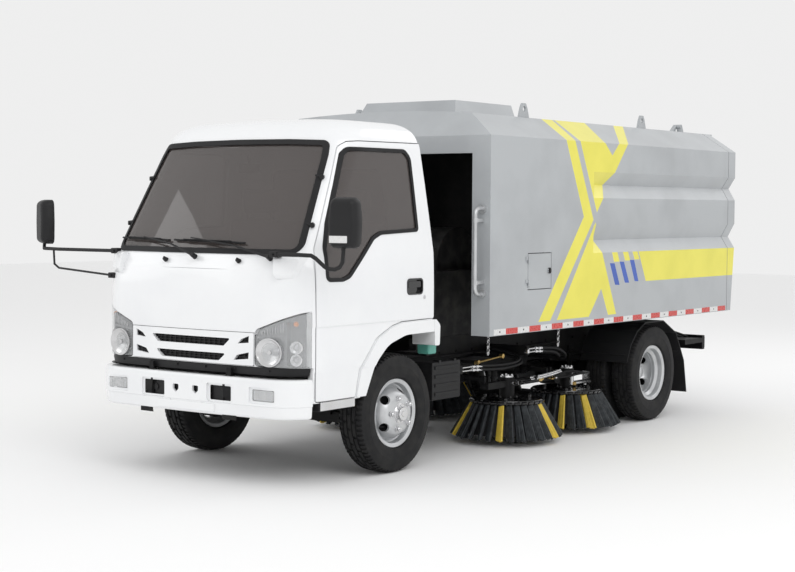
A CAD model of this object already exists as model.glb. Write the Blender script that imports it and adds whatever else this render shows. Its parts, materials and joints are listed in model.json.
import json
import random
from math import atan2, cos, hypot, pi, radians, sin, sqrt

import bmesh
import bpy
from mathutils import Matrix, Vector


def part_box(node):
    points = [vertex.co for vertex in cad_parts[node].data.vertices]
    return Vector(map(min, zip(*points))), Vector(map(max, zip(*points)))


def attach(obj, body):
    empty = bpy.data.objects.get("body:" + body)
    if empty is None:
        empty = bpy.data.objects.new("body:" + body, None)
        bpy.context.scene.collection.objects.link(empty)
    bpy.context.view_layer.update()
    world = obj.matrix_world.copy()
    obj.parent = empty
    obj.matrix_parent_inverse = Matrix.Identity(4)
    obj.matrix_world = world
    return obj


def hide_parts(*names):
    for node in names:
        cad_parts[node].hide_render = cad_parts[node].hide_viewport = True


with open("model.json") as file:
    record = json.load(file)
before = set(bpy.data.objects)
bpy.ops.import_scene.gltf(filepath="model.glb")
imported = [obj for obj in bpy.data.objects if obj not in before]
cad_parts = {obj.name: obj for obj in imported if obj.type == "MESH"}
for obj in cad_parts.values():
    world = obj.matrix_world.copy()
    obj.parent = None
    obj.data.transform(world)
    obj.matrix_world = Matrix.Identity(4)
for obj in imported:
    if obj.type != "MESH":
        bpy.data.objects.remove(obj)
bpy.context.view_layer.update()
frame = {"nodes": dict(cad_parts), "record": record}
print("frame loaded")

# Places below are metres from the front axle's middle on the ground: x to the truck's left, y to its rear.
axleLow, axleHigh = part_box("front_axle")
shift = Vector(((axleLow.x + axleHigh.x) / 2, (axleLow.y + axleHigh.y) / 2, 0.0))
behaviour = frame["record"]["behaviour"]
bodyOf = {node: body for body, nodes in behaviour["bodies"].items() for node in nodes}
slotOf = {part["node"]: part["material_slot"] for part in frame["record"]["subparts"]}
bothSides = (("left", 1), ("right", -1))


# Every finish is two colours in soft patches, with a fine grain in its gloss and its surface.
def makeFinish(name, look):
    finish = bpy.data.materials.new(name)
    finish.use_nodes = True
    nodes, links = finish.node_tree.nodes, finish.node_tree.links
    shader = nodes["Principled BSDF"]
    coords = nodes.new("ShaderNodeTexCoord")
    patches = nodes.new("ShaderNodeTexNoise")
    patches.inputs["Scale"].default_value = look.get("patchScale", 3.0)
    patches.inputs["Detail"].default_value = 5.0
    links.new(coords.outputs["Object"], patches.inputs["Vector"])
    blendColours = nodes.new("ShaderNodeMix")
    blendColours.data_type = "RGBA"
    blendColours.inputs["A"].default_value = (*look["colour"], 1.0)
    blendColours.inputs["B"].default_value = (*look.get("second", look["colour"]), 1.0)
    patchRange = nodes.new("ShaderNodeMapRange")
    patchRange.inputs["From Min"].default_value = 0.4
    patchRange.inputs["From Max"].default_value = 0.7
    links.new(patches.outputs["Fac"], patchRange.inputs["Value"])
    links.new(patchRange.outputs["Result"], blendColours.inputs["Factor"])
    links.new(blendColours.outputs["Result"], shader.inputs["Base Color"])
    grain = nodes.new("ShaderNodeTexNoise")
    grain.inputs["Scale"].default_value = look.get("grainScale", 60.0)
    grain.inputs["Detail"].default_value = 3.0
    links.new(coords.outputs["Object"], grain.inputs["Vector"])
    roughRange = nodes.new("ShaderNodeMapRange")
    low, high = look.get("rough", (0.35, 0.45))
    roughRange.inputs["To Min"].default_value = low
    roughRange.inputs["To Max"].default_value = high
    links.new(grain.outputs["Fac"], roughRange.inputs["Value"])
    links.new(roughRange.outputs["Result"], shader.inputs["Roughness"])
    bump = nodes.new("ShaderNodeBump")
    bump.inputs["Strength"].default_value = look.get("bump", 0.05)
    bump.inputs["Distance"].default_value = look.get("bumpDepth", 0.002)
    links.new(grain.outputs["Fac"], bump.inputs["Height"])
    links.new(bump.outputs["Normal"], shader.inputs["Normal"])
    for socket, key in (("Metallic", "metal"), ("Coat Weight", "coat"), ("Coat Roughness", "coatRough"),
                        ("Alpha", "alpha"), ("Specular IOR Level", "specular")):
        if key in look:
            shader.inputs[socket].default_value = look[key]
    return finish


finishLooks = {
    "cabPaint": {"colour": (0.86, 0.87, 0.88), "second": (0.83, 0.84, 0.855), "rough": (0.22, 0.3),
                 "coat": 0.6, "coatRough": 0.05, "grainScale": 240.0, "bump": 0.02, "bumpDepth": 0.0006},
    "bodyPaint": {"colour": (0.43, 0.45, 0.465), "second": (0.37, 0.385, 0.4), "patchScale": 2.2,
                  "rough": (0.34, 0.5), "coat": 0.25, "coatRough": 0.2, "grainScale": 180.0, "bump": 0.05,
                  "bumpDepth": 0.0012},
    "yellowStripe": {"colour": (0.83, 0.76, 0.085), "second": (0.77, 0.71, 0.07), "patchScale": 4.0,
                     "rough": (0.32, 0.42), "coat": 0.3, "coatRough": 0.15, "grainScale": 180.0},
    "blueStripe": {"colour": (0.02, 0.09, 0.46), "second": (0.016, 0.075, 0.4), "rough": (0.3, 0.4),
                   "coat": 0.3, "coatRough": 0.15},
    "framePaint": {"colour": (0.006, 0.006, 0.007), "second": (0.014, 0.0135, 0.013), "patchScale": 9.0,
                   "rough": (0.38, 0.62), "specular": 0.2, "grainScale": 90.0, "bump": 0.12,
                   "bumpDepth": 0.002},
    "blackPlastic": {"colour": (0.008, 0.008, 0.009), "second": (0.013, 0.013, 0.014), "rough": (0.42, 0.6),
                     "specular": 0.35, "grainScale": 900.0, "bump": 0.2, "bumpDepth": 0.0006},
    "glossBlack": {"colour": (0.006, 0.006, 0.007), "rough": (0.1, 0.16), "coat": 0.5},
    "rubberSeal": {"colour": (0.008, 0.008, 0.009), "second": (0.016, 0.016, 0.017), "rough": (0.5, 0.66),
                   "specular": 0.3, "grainScale": 400.0, "bump": 0.1},
    "tyreRubber": {"colour": (0.01, 0.01, 0.011), "second": (0.02, 0.0195, 0.019), "patchScale": 14.0,
                   "specular": 0.3, "rough": (0.62, 0.8), "grainScale": 260.0, "bump": 0.25,
                   "bumpDepth": 0.0012},
    "wheelSilver": {"colour": (0.62, 0.63, 0.64), "second": (0.52, 0.53, 0.54), "patchScale": 12.0,
                    "metal": 0.7, "rough": (0.26, 0.38), "grainScale": 220.0},
    "brightSteel": {"colour": (0.72, 0.72, 0.73), "second": (0.6, 0.6, 0.6), "metal": 1.0,
                    "rough": (0.14, 0.3), "grainScale": 150.0},
    "brassFitting": {"colour": (0.62, 0.43, 0.16), "second": (0.5, 0.34, 0.13), "metal": 1.0,
                     "rough": (0.24, 0.4), "grainScale": 150.0},
    "castMetal": {"colour": (0.02, 0.02, 0.021), "second": (0.05, 0.049, 0.046), "patchScale": 12.0,
                  "metal": 0.3, "specular": 0.3, "rough": (0.5, 0.72), "grainScale": 120.0, "bump": 0.3,
                  "bumpDepth": 0.003},
    "darkBristle": {"colour": (0.018, 0.021, 0.024), "second": (0.045, 0.051, 0.056), "patchScale": 30.0,
                    "specular": 0.3, "rough": (0.4, 0.6), "grainScale": 500.0, "bump": 0.3},
    "yellowBristle": {"colour": (0.72, 0.52, 0.06), "second": (0.6, 0.44, 0.05), "patchScale": 30.0,
                      "rough": (0.42, 0.6), "grainScale": 500.0, "bump": 0.3},
    "interiorPlastic": {"colour": (0.16, 0.155, 0.15), "second": (0.2, 0.195, 0.19), "rough": (0.55, 0.7),
                        "grainScale": 700.0, "bump": 0.2},
    "seatFabric": {"colour": (0.2, 0.19, 0.185), "second": (0.27, 0.26, 0.25), "patchScale": 60.0,
                   "rough": (0.8, 0.95), "grainScale": 900.0, "bump": 0.5},
    "lampRed": {"colour": (0.5, 0.012, 0.01), "rough": (0.1, 0.18), "coat": 0.6},
    "lampAmber": {"colour": (0.75, 0.24, 0.02), "rough": (0.12, 0.2), "coat": 0.6},
    "lampWhite": {"colour": (0.8, 0.81, 0.82), "second": (0.66, 0.67, 0.69), "patchScale": 40.0,
                  "rough": (0.08, 0.2), "coat": 0.5},
    "lampGrey": {"colour": (0.2, 0.2, 0.205), "second": (0.32, 0.32, 0.33), "patchScale": 40.0, "metal": 0.6,
                 "rough": (0.14, 0.28), "coat": 0.4},
    "tapeRed": {"colour": (0.6, 0.03, 0.02), "second": (0.5, 0.022, 0.016), "patchScale": 220.0,
                "rough": (0.22, 0.34), "coat": 0.4},
    "tapeWhite": {"colour": (0.74, 0.74, 0.73), "second": (0.62, 0.62, 0.62), "patchScale": 220.0,
                  "rough": (0.22, 0.34), "coat": 0.4},
    "bottlePlastic": {"colour": (0.78, 0.82, 0.8), "second": (0.7, 0.76, 0.73), "rough": (0.35, 0.45)},
    "bottleGreen": {"colour": (0.12, 0.4, 0.33), "second": (0.1, 0.34, 0.28), "rough": (0.3, 0.4)},
    "mirrorSilver": {"colour": (0.85, 0.86, 0.87), "metal": 1.0, "rough": (0.03, 0.06), "bump": 0.0},
}
finishes = {name: makeFinish(name, look) for name, look in finishLooks.items()}


def makeGlass(name, tint, alpha, roughness):
    return makeFinish(name, {"colour": tint, "second": tuple(c * 0.9 for c in tint), "patchScale": 1.5,
                             "rough": (roughness, roughness + 0.02), "bump": 0.0, "coat": 0.5,
                             "coatRough": 0.02, "alpha": alpha, "specular": 0.6})


finishes["cabGlass"] = makeGlass("cabGlass", (0.085, 0.072, 0.068), 0.72, 0.02)
finishes["lampLens"] = makeGlass("lampLens", (0.75, 0.77, 0.78), 0.22, 0.03)
print("finishes made")


# Tools that make, cut and finish meshes come first, then the pieces.
mergeReach = 1e-5  # points nearer than this are one


def addBlock(bm, x0, x1, y0, y1, z0, z1, edge=0.0, segments=2):
    verts = bmesh.ops.create_cube(bm, size=1.0)["verts"]
    bmesh.ops.scale(bm, vec=(abs(x1 - x0), abs(y1 - y0), abs(z1 - z0)), verts=verts)
    bmesh.ops.translate(bm, vec=((x0 + x1) / 2, (y0 + y1) / 2, (z0 + z1) / 2), verts=verts)
    if edge:
        edges = list({e for v in verts for e in v.link_edges})
        made = bmesh.ops.bevel(bm, geom=edges, offset=edge, segments=segments, profile=0.5, affect="EDGES",
                               material=-1, clamp_overlap=True)
        verts = made["verts"]
    return verts


def addRod(bm, start, end, radius, sides=20, endRadius=None):
    start, end = Vector(start), Vector(end)
    along = end - start
    place = Matrix.Translation((start + end) / 2) @ along.to_track_quat("Z", "Y").to_matrix().to_4x4()
    farRadius = radius if endRadius is None else endRadius
    return bmesh.ops.create_cone(bm, cap_ends=True, segments=sides, radius1=radius, radius2=farRadius,
                                 depth=along.length, matrix=place)["verts"]


def addTurned(bm, outline, centre, axis, sides=64):
    # outline holds (along the axis, radius) points; an outline that starts and ends on the axis makes a solid
    axis = Vector(axis).normalized()
    out = axis.orthogonal().normalized()
    verts = [bm.verts.new(Vector(centre) + axis * along + out * radius) for along, radius in outline]
    edges = [bm.edges.new(pair) for pair in zip(verts, verts[1:])]
    bmesh.ops.spin(bm, geom=verts + edges, cent=centre, axis=axis, angle=2 * pi, steps=sides, use_merge=True)
    bmesh.ops.remove_doubles(bm, verts=bm.verts, dist=mergeReach)


def addPrism(bm, outline, along, low, high):
    # outline holds points in the two other axes, in the order x, y, z
    axis = "xyz".index(along)
    push = [0, 0, 0]
    push[axis] = high - low
    face = bm.faces.new([bm.verts.new((*place[:axis], low, *place[axis:])) for place in outline])
    made = bmesh.ops.extrude_face_region(bm, geom=[face])["geom"]
    far = [item for item in made if isinstance(item, bmesh.types.BMVert)]
    bmesh.ops.translate(bm, vec=push, verts=far)
    return list(face.verts) + far


def addBolt(bm, place, axis, size=0.012, height=0.008):
    # a hexagon head on its washer
    place, axis = Vector(place), Vector(axis).normalized()
    addRod(bm, place, place + axis * height * 0.25, size * 0.85, sides=14)
    addRod(bm, place, place + axis * height, size * 0.6, sides=6)


def roundedOutline(outline, radius, steps=5):
    # each corner of a closed outline becomes an arc; radius is one number, or one for each corner
    radii = radius if isinstance(radius, (list, tuple)) else [radius] * len(outline)
    made = []
    count = len(outline)
    for i, corner in enumerate(outline):
        corner = Vector(corner)
        before = Vector(outline[i - 1]) - corner
        after = Vector(outline[(i + 1) % count]) - corner
        half = before.angle(after) / 2
        if radii[i] < 1e-6 or half > 1.55:
            made.append(tuple(corner))
            continue
        reach = min(radii[i] * cos(half) / sin(half), before.length * 0.49, after.length * 0.49)
        arcRadius = reach * sin(half) / cos(half)
        bisector = (before.normalized() + after.normalized()).normalized()
        centre = corner + bisector * (arcRadius / sin(half))
        first = corner + before.normalized() * reach - centre
        last = corner + after.normalized() * reach - centre
        sweep = first.angle_signed(last)
        for step in range(steps + 1):
            turn = Matrix.Rotation(-sweep * step / steps, 2)
            made.append(tuple(centre + turn @ first))
    return made


def offsetOutline(outline, gap):
    # each side of a closed outline moves inwards by gap; a negative gap moves it outwards
    ring = list(zip(outline, outline[1:] + outline[:1]))
    turn = 1 if sum(a0 * b1 - a1 * b0 for (a0, b0), (a1, b1) in ring) > 0 else -1
    normals = [Vector((turn * (b0 - b1), turn * (a1 - a0))).normalized() for (a0, b0), (a1, b1) in ring]
    moved = []
    for point, before, after in zip(outline, normals[-1:] + normals[:-1], normals):
        move = (before + after) * (gap / (1 + before.dot(after)))
        moved.append((point[0] + move.x, point[1] + move.y))
    return moved


def finishPiece(name, bm, finish, body, replaced=(), slot=None, sharp=35.0, keepNormals=False):
    # the bmesh becomes an object of the truck: its looks, the body it rides on and the nodes it replaces
    bmesh.ops.remove_doubles(bm, verts=bm.verts, dist=mergeReach)
    if not keepNormals:
        bmesh.ops.recalc_face_normals(bm, faces=bm.faces)
    for face in bm.faces:
        face.smooth = True
    for edge in bm.edges:
        if len(edge.link_faces) == 2:
            edge.smooth = edge.calc_face_angle(0.0) < radians(sharp)
    bmesh.ops.translate(bm, vec=shift, verts=bm.verts)
    mesh = bpy.data.meshes.new(name)
    bm.to_mesh(mesh)
    bm.free()
    piece = bpy.data.objects.new(name, mesh)
    bpy.context.scene.collection.objects.link(piece)
    for part in finish if isinstance(finish, (list, tuple)) else [finish]:
        mesh.materials.append(finishes[part])
    weigh = piece.modifiers.new("weighed normals", "WEIGHTED_NORMAL")
    weigh.keep_sharp = True
    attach(piece, body)
    if replaced:
        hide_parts(*replaced)
        slot = slot or slotOf[replaced[0]]
    return piece


def nodeCopy(node):
    # the node's mesh with its loose triangles merged and its flat faces joined, back on the working places
    bm = bmesh.new()
    bm.from_mesh(frame["nodes"][node].data)
    bmesh.ops.remove_doubles(bm, verts=bm.verts, dist=2e-5)
    bmesh.ops.dissolve_limit(bm, angle_limit=radians(0.6), verts=bm.verts, edges=bm.edges)
    bmesh.ops.translate(bm, vec=-shift, verts=bm.verts)
    return bm


def softenEdges(bm, width, test=None, segments=2):
    # rounds the sharp edges, or those of them that pass the test
    edges = [e for e in bm.edges if len(e.link_faces) == 2 and e.calc_face_angle(0.0) > radians(28)
             and (test is None or test(e))]
    bmesh.ops.bevel(bm, geom=edges, offset=width, segments=segments, profile=0.5, affect="EDGES", material=-1,
                    clamp_overlap=True)


def refinish(node, name, finish, width=0.0, extra=None):
    # a node that keeps its shape: its edges softened by width, what extra adds, and a finish
    bm = nodeCopy(node)
    if width:
        softenEdges(bm, width)
    if extra:
        extra(bm)
    return finishPiece(name, bm, finish, bodyOf[node], replaced=(node,), keepNormals=extra is None)


def cutSolid(solid, tools, operation="DIFFERENCE"):
    # solid and tools are bmeshes; the result is a new one, and all that went in are freed
    made = []
    for tool in tools:
        bmesh.ops.recalc_face_normals(tool, faces=tool.faces)
    for part in [solid] + list(tools):
        mesh = bpy.data.meshes.new("working")
        part.to_mesh(mesh)
        part.free()
        made.append(bpy.data.objects.new("working", mesh))
        bpy.context.scene.collection.objects.link(made[-1])
    for tool in made[1:]:
        step = made[0].modifiers.new("cut", "BOOLEAN")
        step.operation = operation
        step.solver = "EXACT"
        step.object = tool
    graph = bpy.context.evaluated_depsgraph_get()
    result = bmesh.new()
    result.from_mesh(made[0].evaluated_get(graph).to_mesh())
    for part in made:
        mesh = part.data
        bpy.data.objects.remove(part)
        bpy.data.meshes.remove(mesh)
    return result


def pourInto(bm, part):
    # the faces of part are added to bm, and part is freed
    mesh = bpy.data.meshes.new("working")
    part.to_mesh(mesh)
    part.free()
    bm.from_mesh(mesh)
    bpy.data.meshes.remove(mesh)


def joined(parts):
    made = bmesh.new()
    for part in parts:
        pourInto(made, part)
    return made


def onSide(bm, side):
    # what was made for the left goes to the right when side is negative
    if side < 0:
        bmesh.ops.scale(bm, vec=(-1, 1, 1), verts=bm.verts)
        bmesh.ops.reverse_faces(bm, faces=bm.faces)
    return bm


def addSkin(bm, rings):
    # a closed skin through rings of points, each with as many points as the next
    loops = []
    for places in rings:
        ring = [bm.verts.new(place) for place in places]
        loops.append([bm.edges.new((ring[k - 1], ring[k])) for k in range(len(ring))])
    for first, second in zip(loops, loops[1:]):
        bmesh.ops.bridge_loops(bm, edges=first + second)
    for loop in (loops[0], loops[-1]):
        bmesh.ops.contextual_create(bm, geom=loop)
    return list({vert for loop in loops for edge in loop for vert in edge.verts})


def hose(name, routes, radius, finish, body):
    # one curve object with a smooth run for each route
    curve = bpy.data.curves.new(name, "CURVE")
    curve.dimensions = "3D"
    curve.bevel_depth = radius
    curve.bevel_resolution = 3
    curve.use_fill_caps = True
    for route in routes:
        run = curve.splines.new("NURBS")
        run.points.add(len(route) - 1)
        for point, place in zip(run.points, route):
            point.co = (*(Vector(place) + shift), 1.0)
        run.order_u = 3
        run.use_endpoint_u = True
        run.resolution_u = 8
    piece = bpy.data.objects.new(name, curve)
    bpy.context.scene.collection.objects.link(piece)
    curve.materials.append(finishes[finish])
    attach(piece, body)
    return piece


# hopper body, painted grey with yellow and blue stripes
bodySizes = {"half": 1.024, "front": 0.825, "base": 0.833, "eave": 2.196, "edge": 0.004, "bandDepth": 0.26,
             "bayHalf": 0.965, "bayFront": 0.88, "bayRear": 2.17, "bayTop": 2.188}
tapeSizes = {"low": 0.838, "high": 0.878, "start": 0.877, "end": 4.552, "run": 0.1525, "count": 25,
             "dotRadius": 0.007}
railSizes = {"out": 0.965, "low": 1.12, "high": 1.7, "reach": 0.095, "bend": 0.045, "radius": 0.014,
             "clampAt": (1.2, 1.62), "footAt": (1.125, 1.695)}
stripeShapes = [
    # finish, which face, outline in (y, z)
    ("yellowStripe", "side", [(1.82, 2.2), (1.948, 2.2), (2.228, 1.62), (1.618, 0.9), (1.457, 0.9),
                              (2.084, 1.644)]),
    ("yellowStripe", "side", [(2.02, 2.2), (2.39, 2.2), (2.507, 2.106), (2.612, 2.2), (2.752, 2.2),
                              (2.278, 1.675)]),
    ("yellowStripe", "side", [(1.71, 0.9), (2.259, 1.602), (2.594, 0.9), (2.466, 0.9), (2.357, 1.102),
                              (2.174, 0.9)]),
    ("yellowStripe", "side", [(2.944, 1.373), (4.72, 1.373), (4.72, 1.137), (3.07, 1.137)]),
    ("yellowStripe", "side", [(2.519, 1.373), (2.604, 1.373), (2.64, 1.3), (2.551, 1.3)]),
    ("yellowStripe", "side", [(2.69, 1.373), (2.774, 1.373), (2.811, 1.305), (2.726, 1.305)]),
    ("yellowStripe", "side", [(2.844, 1.373), (2.925, 1.373), (2.963, 1.31), (2.881, 1.31)]),
    ("blueStripe", "side", [(2.487, 1.291), (2.561, 1.289), (2.645, 1.121), (2.572, 1.124)]),
    ("blueStripe", "side", [(2.64, 1.299), (2.709, 1.298), (2.798, 1.133), (2.727, 1.135)]),
    ("blueStripe", "side", [(2.803, 1.309), (2.874, 1.307), (2.95, 1.139), (2.886, 1.142)]),
    ("yellowStripe", "chamfer", [(1.82, 2.19), (1.948, 2.19), (2.04, 2.36), (1.885, 2.36)]),
    ("yellowStripe", "chamfer", [(2.02, 2.19), (2.385, 2.19), (2.52, 2.36), (2.07, 2.36)]),
    ("yellowStripe", "chamfer", [(2.604, 2.19), (2.745, 2.19), (3.134, 2.36), (2.978, 2.36)]),
]
bodyFinishes = ["bodyPaint", "yellowStripe", "blueStripe", "framePaint"]


def insideOutline(a, b, outline):
    # counts the outline's sides that lie beyond the point
    found = False
    for (a0, b0), (a1, b1) in zip(outline, outline[1:] + outline[:1]):
        if (b0 > b) != (b1 > b) and a < a0 + (a1 - a0) * (b - b0) / (b1 - b0):
            found = not found
    return found


def onStripedFace(face, where):
    # outer faces of the sides, or of the slopes between sides and roof
    centre = face.calc_center_median()
    if abs(face.normal.x) < 0.2 or abs(centre.x) < 0.75 or face.normal.x * centre.x < 0:
        return False
    if where == "chamfer":
        return centre.z > bodySizes["eave"]
    return centre.z <= bodySizes["eave"] and abs(centre.x) > 0.955


def paintStripes(bm):
    # each stripe's edges are cut into the faces that it crosses, then the faces inside it take its colour
    for finish, where, outline in stripeShapes:
        lowY, highY = min(y for y, z in outline), max(y for y, z in outline)
        lowZ, highZ = min(z for y, z in outline), max(z for y, z in outline)
        for (y0, z0), (y1, z1) in zip(outline, outline[1:] + outline[:1]):
            faces = []
            for face in bm.faces:
                if not onStripedFace(face, where):
                    continue
                ys = [v.co.y for v in face.verts]
                zs = [v.co.z for v in face.verts]
                if min(ys) < highY and max(ys) > lowY and min(zs) < highZ and max(zs) > lowZ:
                    faces.append(face)
            parts = set(faces)
            for face in faces:
                parts.update(face.verts)
                parts.update(face.edges)
            bmesh.ops.bisect_plane(bm, geom=list(parts), dist=mergeReach, plane_co=(0, y0, z0),
                                   plane_no=(0, z0 - z1, y1 - y0))
        for face in bm.faces:
            if onStripedFace(face, where):
                centre = face.calc_center_median()
                if insideOutline(centre.y, centre.z, outline):
                    face.material_index = bodyFinishes.index(finish)


def makeBody():
    bm = nodeCopy("body_shell")
    half = bodySizes["half"]
    softenEdges(bm, bodySizes["edge"], lambda e: e.calc_length() > 0.09
                and max(abs(v.co.x) for v in e.verts) > half - bodySizes["bandDepth"])
    bmesh.ops.dissolve_limit(bm, angle_limit=radians(0.4), verts=bm.verts, edges=bm.edges)
    for face in bm.faces:
        centre = face.calc_center_median()
        inBay = (abs(centre.x) < bodySizes["bayHalf"] and centre.z < bodySizes["bayTop"]
                 and bodySizes["bayFront"] < centre.y < bodySizes["bayRear"])
        if inBay or centre.z < bodySizes["base"] + 0.002:
            face.material_index = bodyFinishes.index("framePaint")
    paintStripes(bm)
    finishPiece("hopperBody", bm, bodyFinishes, bodyOf["body_shell"], ("body_shell",), keepNormals=True)
    bm = nodeCopy("tailgate")
    softenEdges(bm, bodySizes["edge"], lambda e: e.calc_length() > 0.06)
    paintStripes(bm)
    finishPiece("rearGate", bm, bodyFinishes, bodyOf["tailgate"], ("tailgate",), keepNormals=True)


def makeTape():
    # red and white reflective tape in short lengths, with a punched dot in each white one
    low, high, run = tapeSizes["low"], tapeSizes["high"], tapeSizes["run"]
    middleZ = (low + high) / 2
    white, dots, red = bmesh.new(), bmesh.new(), bmesh.new()
    for side in (-1, 1):
        x = side * bodySizes["half"]
        for step in range(tapeSizes["count"]):
            y = tapeSizes["start"] + step * run
            if y + run > tapeSizes["end"]:
                break
            addBlock(red if step % 2 else white, x - side * 0.001, x + side * 0.0012, y, y + run, low, high)
            if step % 2 == 0:
                addRod(dots, (x, y + run / 2, middleZ), (x + side * 0.0018, y + run / 2, middleZ),
                       tapeSizes["dotRadius"], 12)
    finishPiece("tapeWhite", white, "tapeWhite", "hopper_body", slot="body_paint")
    finishPiece("tapeDots", dots, "glossBlack", "hopper_body", slot="body_paint")
    finishPiece("tapeRed", red, "tapeRed", "hopper_body", slot="body_paint")


def makeHandRails():
    # one beside each side of the bay opening, on two feet and two clamps
    rails, clamps = bmesh.new(), bmesh.new()
    front, low, bend = bodySizes["front"], railSizes["low"], railSizes["bend"]
    out = front - railSizes["reach"]
    for side in (-1, 1):
        x = side * railSizes["out"]
        route = [(x, front, low), (x, out + bend, low)]
        for step in range(1, 7):
            turn = pi / 2 * step / 6
            route.append((x, out + bend - bend * sin(turn), low + bend - bend * cos(turn)))
        route += [(x, y, low + railSizes["high"] - z) for x, y, z in reversed(route)]
        sweepTube(rails, route, railSizes["radius"], 14)
        for z in railSizes["footAt"]:
            addRod(clamps, (x, front - 0.012, z), (x, front, z), 0.03, 24)
        for z in railSizes["clampAt"]:
            addRod(clamps, (x, out, z - 0.016), (x, out, z + 0.016), 0.019, 18)
            addBlock(clamps, x - 0.011, x + 0.011, out, front, z - 0.011, z + 0.011, 0.002)
    finishPiece("handRails", rails, "wheelSilver", "hopper_body", ("grab_rails",))
    finishPiece("handRailClamps", clamps, "wheelSilver", "hopper_body", slot="body_paint")


def makeBodyFittings():
    refinish("access_door", "accessPanel", "bodyPaint", 0.002)
    lock = bmesh.new()
    lockY, lockZ = 1.598, 1.26
    addRod(lock, (1.02, lockY, lockZ), (1.0315, lockY, lockZ), 0.021, 28)
    addRod(lock, (1.03, lockY, lockZ), (1.036, lockY, lockZ), 0.013, 20)
    finishPiece("panelLock", lock, "blackPlastic", "side_panel", slot="black_plastic")
    refinish("roof_hood", "roofHood", "bodyPaint", 0.004)
    refinish("lifting_eyes", "liftingEyes", "bodyPaint", 0.0015)
    # a row of bolts along both slopes of the roof hood
    bolts = bmesh.new()
    for side in (-1, 1):
        for step in range(7):
            addBolt(bolts, (side * 0.438, 1.33 + step * 0.115, 2.372), (side * 0.94, 0, 0.34), 0.011)
    finishPiece("hoodBolts", bolts, "wheelSilver", "hopper_body", slot="body_paint")


def sweepTube(bm, route, radius, sides=14):
    # a tube made ring by ring along a route of points
    points = [Vector(place) for place in route]
    rings = []
    up = None
    for i, point in enumerate(points):
        ahead = (points[min(i + 1, len(points) - 1)] - points[max(i - 1, 0)]).normalized()
        if up is None:
            up = ahead.orthogonal().normalized()
        up = (up - ahead * up.dot(ahead)).normalized()
        across = ahead.cross(up)
        rings.append([point + (up * cos(a) + across * sin(a)) * radius
                      for a in (2 * pi * k / sides for k in range(sides))])
    addSkin(bm, rings)


makeBody()
makeTape()
makeHandRails()
makeBodyFittings()
print("body made")


# wheels: single in front, twins at the rear
wheelSizes = {"tyreRadius": 0.384, "tyreHalf": 0.1, "flangeRadius": 0.222, "lipHalf": 0.078,
              "discFace": 0.1175, "treadPitches": 72, "grooveDepth": 0.009, "cutDepth": 0.008,
              "handHoles": 5, "holeRadius": 0.147, "nuts": 5, "nutRadius": 0.101, "frontHole": 69.0,
              "rearHole": 33.0, "frontBore": 0.05, "rearBore": 0.066, "frontX": 0.768, "outerX": 0.86,
              "innerX": 0.625}
rearAxleY = 3.36


def makeTyre(bm, centre):
    # tread ribs and grooves turned round, then cross cuts pressed into the shoulders
    radius, half, cut = wheelSizes["tyreRadius"], wheelSizes["tyreHalf"], wheelSizes["grooveDepth"]
    crown = [(0.0, radius), (0.012, radius), (0.014, radius - cut), (0.021, radius - cut),
             (0.023, radius - 0.0003),
             (0.044, radius - 0.001), (0.046, radius - cut), (0.053, radius - cut), (0.055, radius - 0.002),
             (0.074, radius - 0.005), (0.0835, radius - 0.009)]
    wall = [(0.089, radius - 0.016), (0.0925, radius - 0.028), (0.0955, radius - 0.046),
            (0.0975, radius - 0.05),
            (half, radius - 0.078), (half + 0.0012, radius - 0.081), (half + 0.0012, radius - 0.085),
            (0.0995, radius - 0.088), (0.098, 0.262), (0.09, 0.239), (0.0895, 0.2345), (0.087, 0.2335),
            (0.082, 0.227), (0.0665, 0.222), (0.063, 0.2045)]
    outline = crown + wall
    ring = [(-a, r) for a, r in reversed(outline[1:])] + outline
    ring.append(ring[0])
    steps = wheelSizes["treadPitches"] * 2
    tyre = bmesh.new()
    addTurned(tyre, ring, (0, 0, 0), (1, 0, 0), steps)
    bmesh.ops.recalc_face_normals(tyre, faces=tyre.faces)
    pressed = []
    for face in tyre.faces:
        middle = face.calc_center_median()
        along, reach = abs(middle.x), hypot(middle.y, middle.z)
        index = int((atan2(middle.z, middle.y) + pi) / (2 * pi) * steps)
        onShoulder = 0.06 < along < 0.092 and reach > radius - 0.02 and index % 2 == 0
        onRib = 0.025 < along < 0.043 and reach > radius - 0.004 and index % 6 == 1
        onMiddle = along < 0.01 and index % 6 == 4
        if onShoulder or onRib or onMiddle:
            pressed.append(face)
    made = bmesh.ops.extrude_face_region(tyre, geom=pressed)["geom"]
    bmesh.ops.delete(tyre, geom=pressed, context="FACES_ONLY")
    for vert in [item for item in made if isinstance(item, bmesh.types.BMVert)]:
        reach = hypot(vert.co.y, vert.co.z)
        vert.co.y *= (reach - wheelSizes["cutDepth"]) / reach
        vert.co.z *= (reach - wheelSizes["cutDepth"]) / reach
    bmesh.ops.translate(tyre, vec=centre, verts=tyre.verts)
    pourInto(bm, tyre)


def rimRing():
    # the rolled steel rim, both lips and the well between them
    rim = bmesh.new()
    half, flange = wheelSizes["lipHalf"], wheelSizes["flangeRadius"]
    outer = [(half - 0.002, flange), (half - 0.008, flange - 0.001), (0.066, 0.214), (0.064, 0.2042),
             (0.03, 0.1995), (0.016, 0.175)]
    inner = [(0.018, 0.165), (0.034, 0.189), (0.068, 0.194), (0.072, 0.198), (0.075, 0.212),
             (half, flange - 0.003)]
    inner = [(-a, r) for a, r in inner[::-1]] + inner
    addTurned(rim, outer + [(-a, r) for a, r in reversed(outer)] + inner + outer[:1], (0, 0, 0), (1, 0, 0),
              96)
    return rim


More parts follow.
